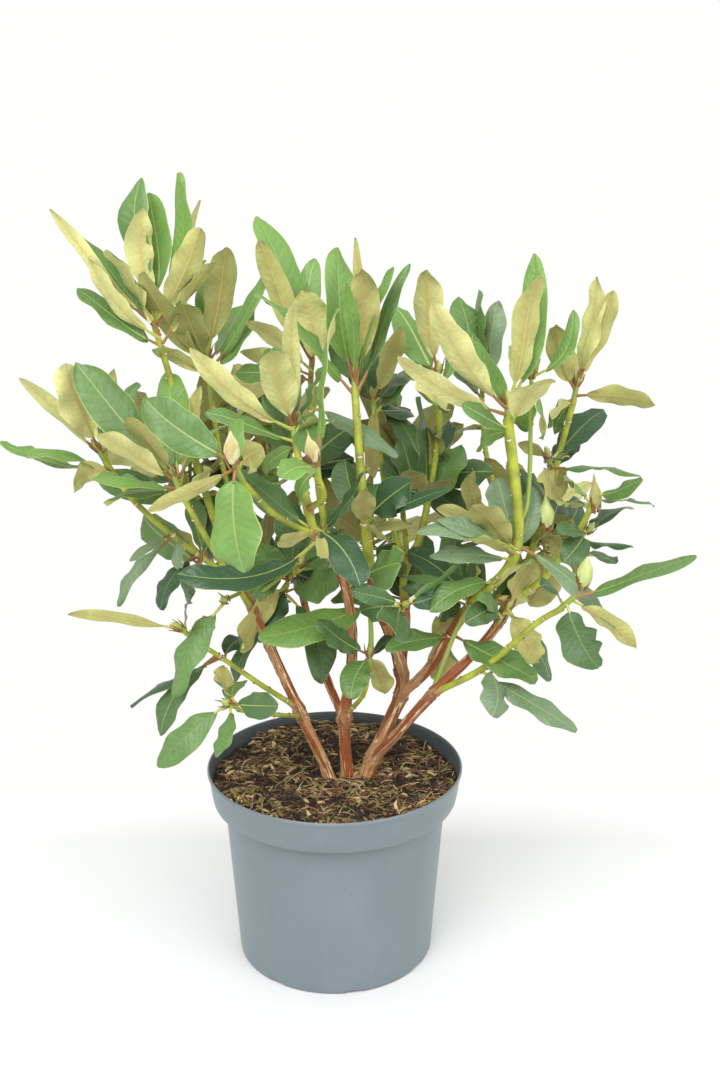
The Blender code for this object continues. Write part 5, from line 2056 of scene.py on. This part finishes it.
@dataclass(frozen=True)
class FloorFinish(Finish):
    """A pale floor that turns into the white of the room at its far edge and all round, where it glows by
    emission as painted light.
    """

    colour: Colour = (0.785, 0.797, 0.795)
    black: Colour = (0.0, 0.0, 0.0)
    edge: tuple[float, float] = (0.18, 0.28)     # where it fades towards the back
    fade: tuple[float, float] = (0.7, 1.6)       # where it fades all round

    def wire(self, net: Wiring) -> None:
        """Wire the shader.

        Args:
            net: The wiring of its material.
        """
        place = net.place()
        back = net.node("SeparateXYZ", {0: place}).outputs[1]
        reach = net.node("VectorMath", {0: place}, operation="LENGTH").outputs["Value"]
        # where the floor glows white by emission, painted light that hides its shadows
        white = net.math("MAXIMUM", net.ramp(back, *self.edge), net.ramp(reach, *self.fade))
        net.feed(net.shader, "Base Color", net.tint(white, self.colour, self.black))
        net.feed(net.shader, "Specular IOR Level", net.math("SUBTRACT", 1.0, white))
        net.feed(net.shader, "Emission Color", WHITE)
        net.feed(net.shader, "Emission Strength", white)
        net.feed(net.shader, "Roughness", 0.6)


@dataclass
class Studio:
    """A plain pale floor, soft light all round and the camera."""

    floor_radius: float = 6.0
    finish: FloorFinish = FloorFinish("floor_pale")
    lens: float = 42.08
    camera_place: Place = (0.0227, -1.0483, 0.687)
    camera_dip: float = radians(15.93)
    world_strength: float = 1.0
    room_strength: float = 0.90
    lamps: tuple = (("key_light", (-0.8, -2.0, 2.5), 2.2, 64.0),
                    ("fill_light", (1.6, -1.6, 1.8), 2.0, 26.0))

    def build(self) -> None:
        """Build the floor, the lights and the camera."""
        floor = disc("studio_floor", 96, self.floor_radius, 0.0, "NGON")
        floor.data.materials.append(self.finish.material())
        self.light()
        camera = bpy.data.cameras.new("front_camera")
        camera.lens = self.lens
        camera.sensor_width = 36.0
        turn = (radians(90.0) - self.camera_dip, 0.0, 0.0)
        bpy.context.scene.camera = self.put(camera, self.camera_place, turn)
        bpy.context.scene.view_settings.view_transform = "Standard"

    def put(self, data: bpy.types.ID, place: Place, turn: Place) -> Item:
        """Put a lamp or a camera in the scene.

        Args:
            data: The lamp or camera.
            place: Its place.
            turn: Its turn about each axis.

        Returns:
            Its object.
        """
        item = bpy.data.objects.new(data.name, data)
        item.location = place
        item.rotation_euler = turn
        bpy.context.scene.collection.objects.link(item)
        return item

    def light(self) -> None:
        """Set the white surroundings and the wide soft lamps."""
        world = bpy.data.worlds.new("white_room")
        world.use_nodes = True
        bpy.context.scene.world = world
        net, background = Wiring(world.node_tree), world.node_tree.nodes["Background"]
        seen = net.node("LightPath").outputs["Is Camera Ray"]
        strength = net.ramp(seen, 0.0, 1.0, self.room_strength, self.world_strength)
        net.feed(background, "Color", WHITE)
        net.feed(background, "Strength", strength)
        for name, place, size, power in self.lamps:
            lamp = bpy.data.lights.new(name, "AREA")
            lamp.shape, lamp.size, lamp.energy = "DISK", size, power
            way = Vector((0.0, 0.0, 0.35)) - Vector(place)
            self.put(lamp, place, way.to_track_quat("-Z", "Y").to_euler())


def main() -> None:
    """Build the whole plant in its pot, piece by piece."""
    logging.basicConfig(level=logging.INFO, format="%(name)s: %(message)s")
    pot = Pot()
    pot.build()
    Peat(pot).build()
    skeleton = Skeleton()
    skeleton.grow()
    skeleton.build()
    fine, coarse, rng = Blade(), Blade(rows=8, columns=(0.055, 0.60, 1.0)), Random(20)
    fine.build()
    coarse.build()
    foliage = Foliage(skeleton, LeafMaker(fine, coarse, rng), rng)
    foliage.grow()
    foliage.build()
    Shoots(skeleton, foliage).build()
    Buds(foliage).build()
    Studio().build()
    LOG.info("%d CAD nodes stand behind the pieces", len(frame["nodes"]))


if __name__ == "__main__":
    main()
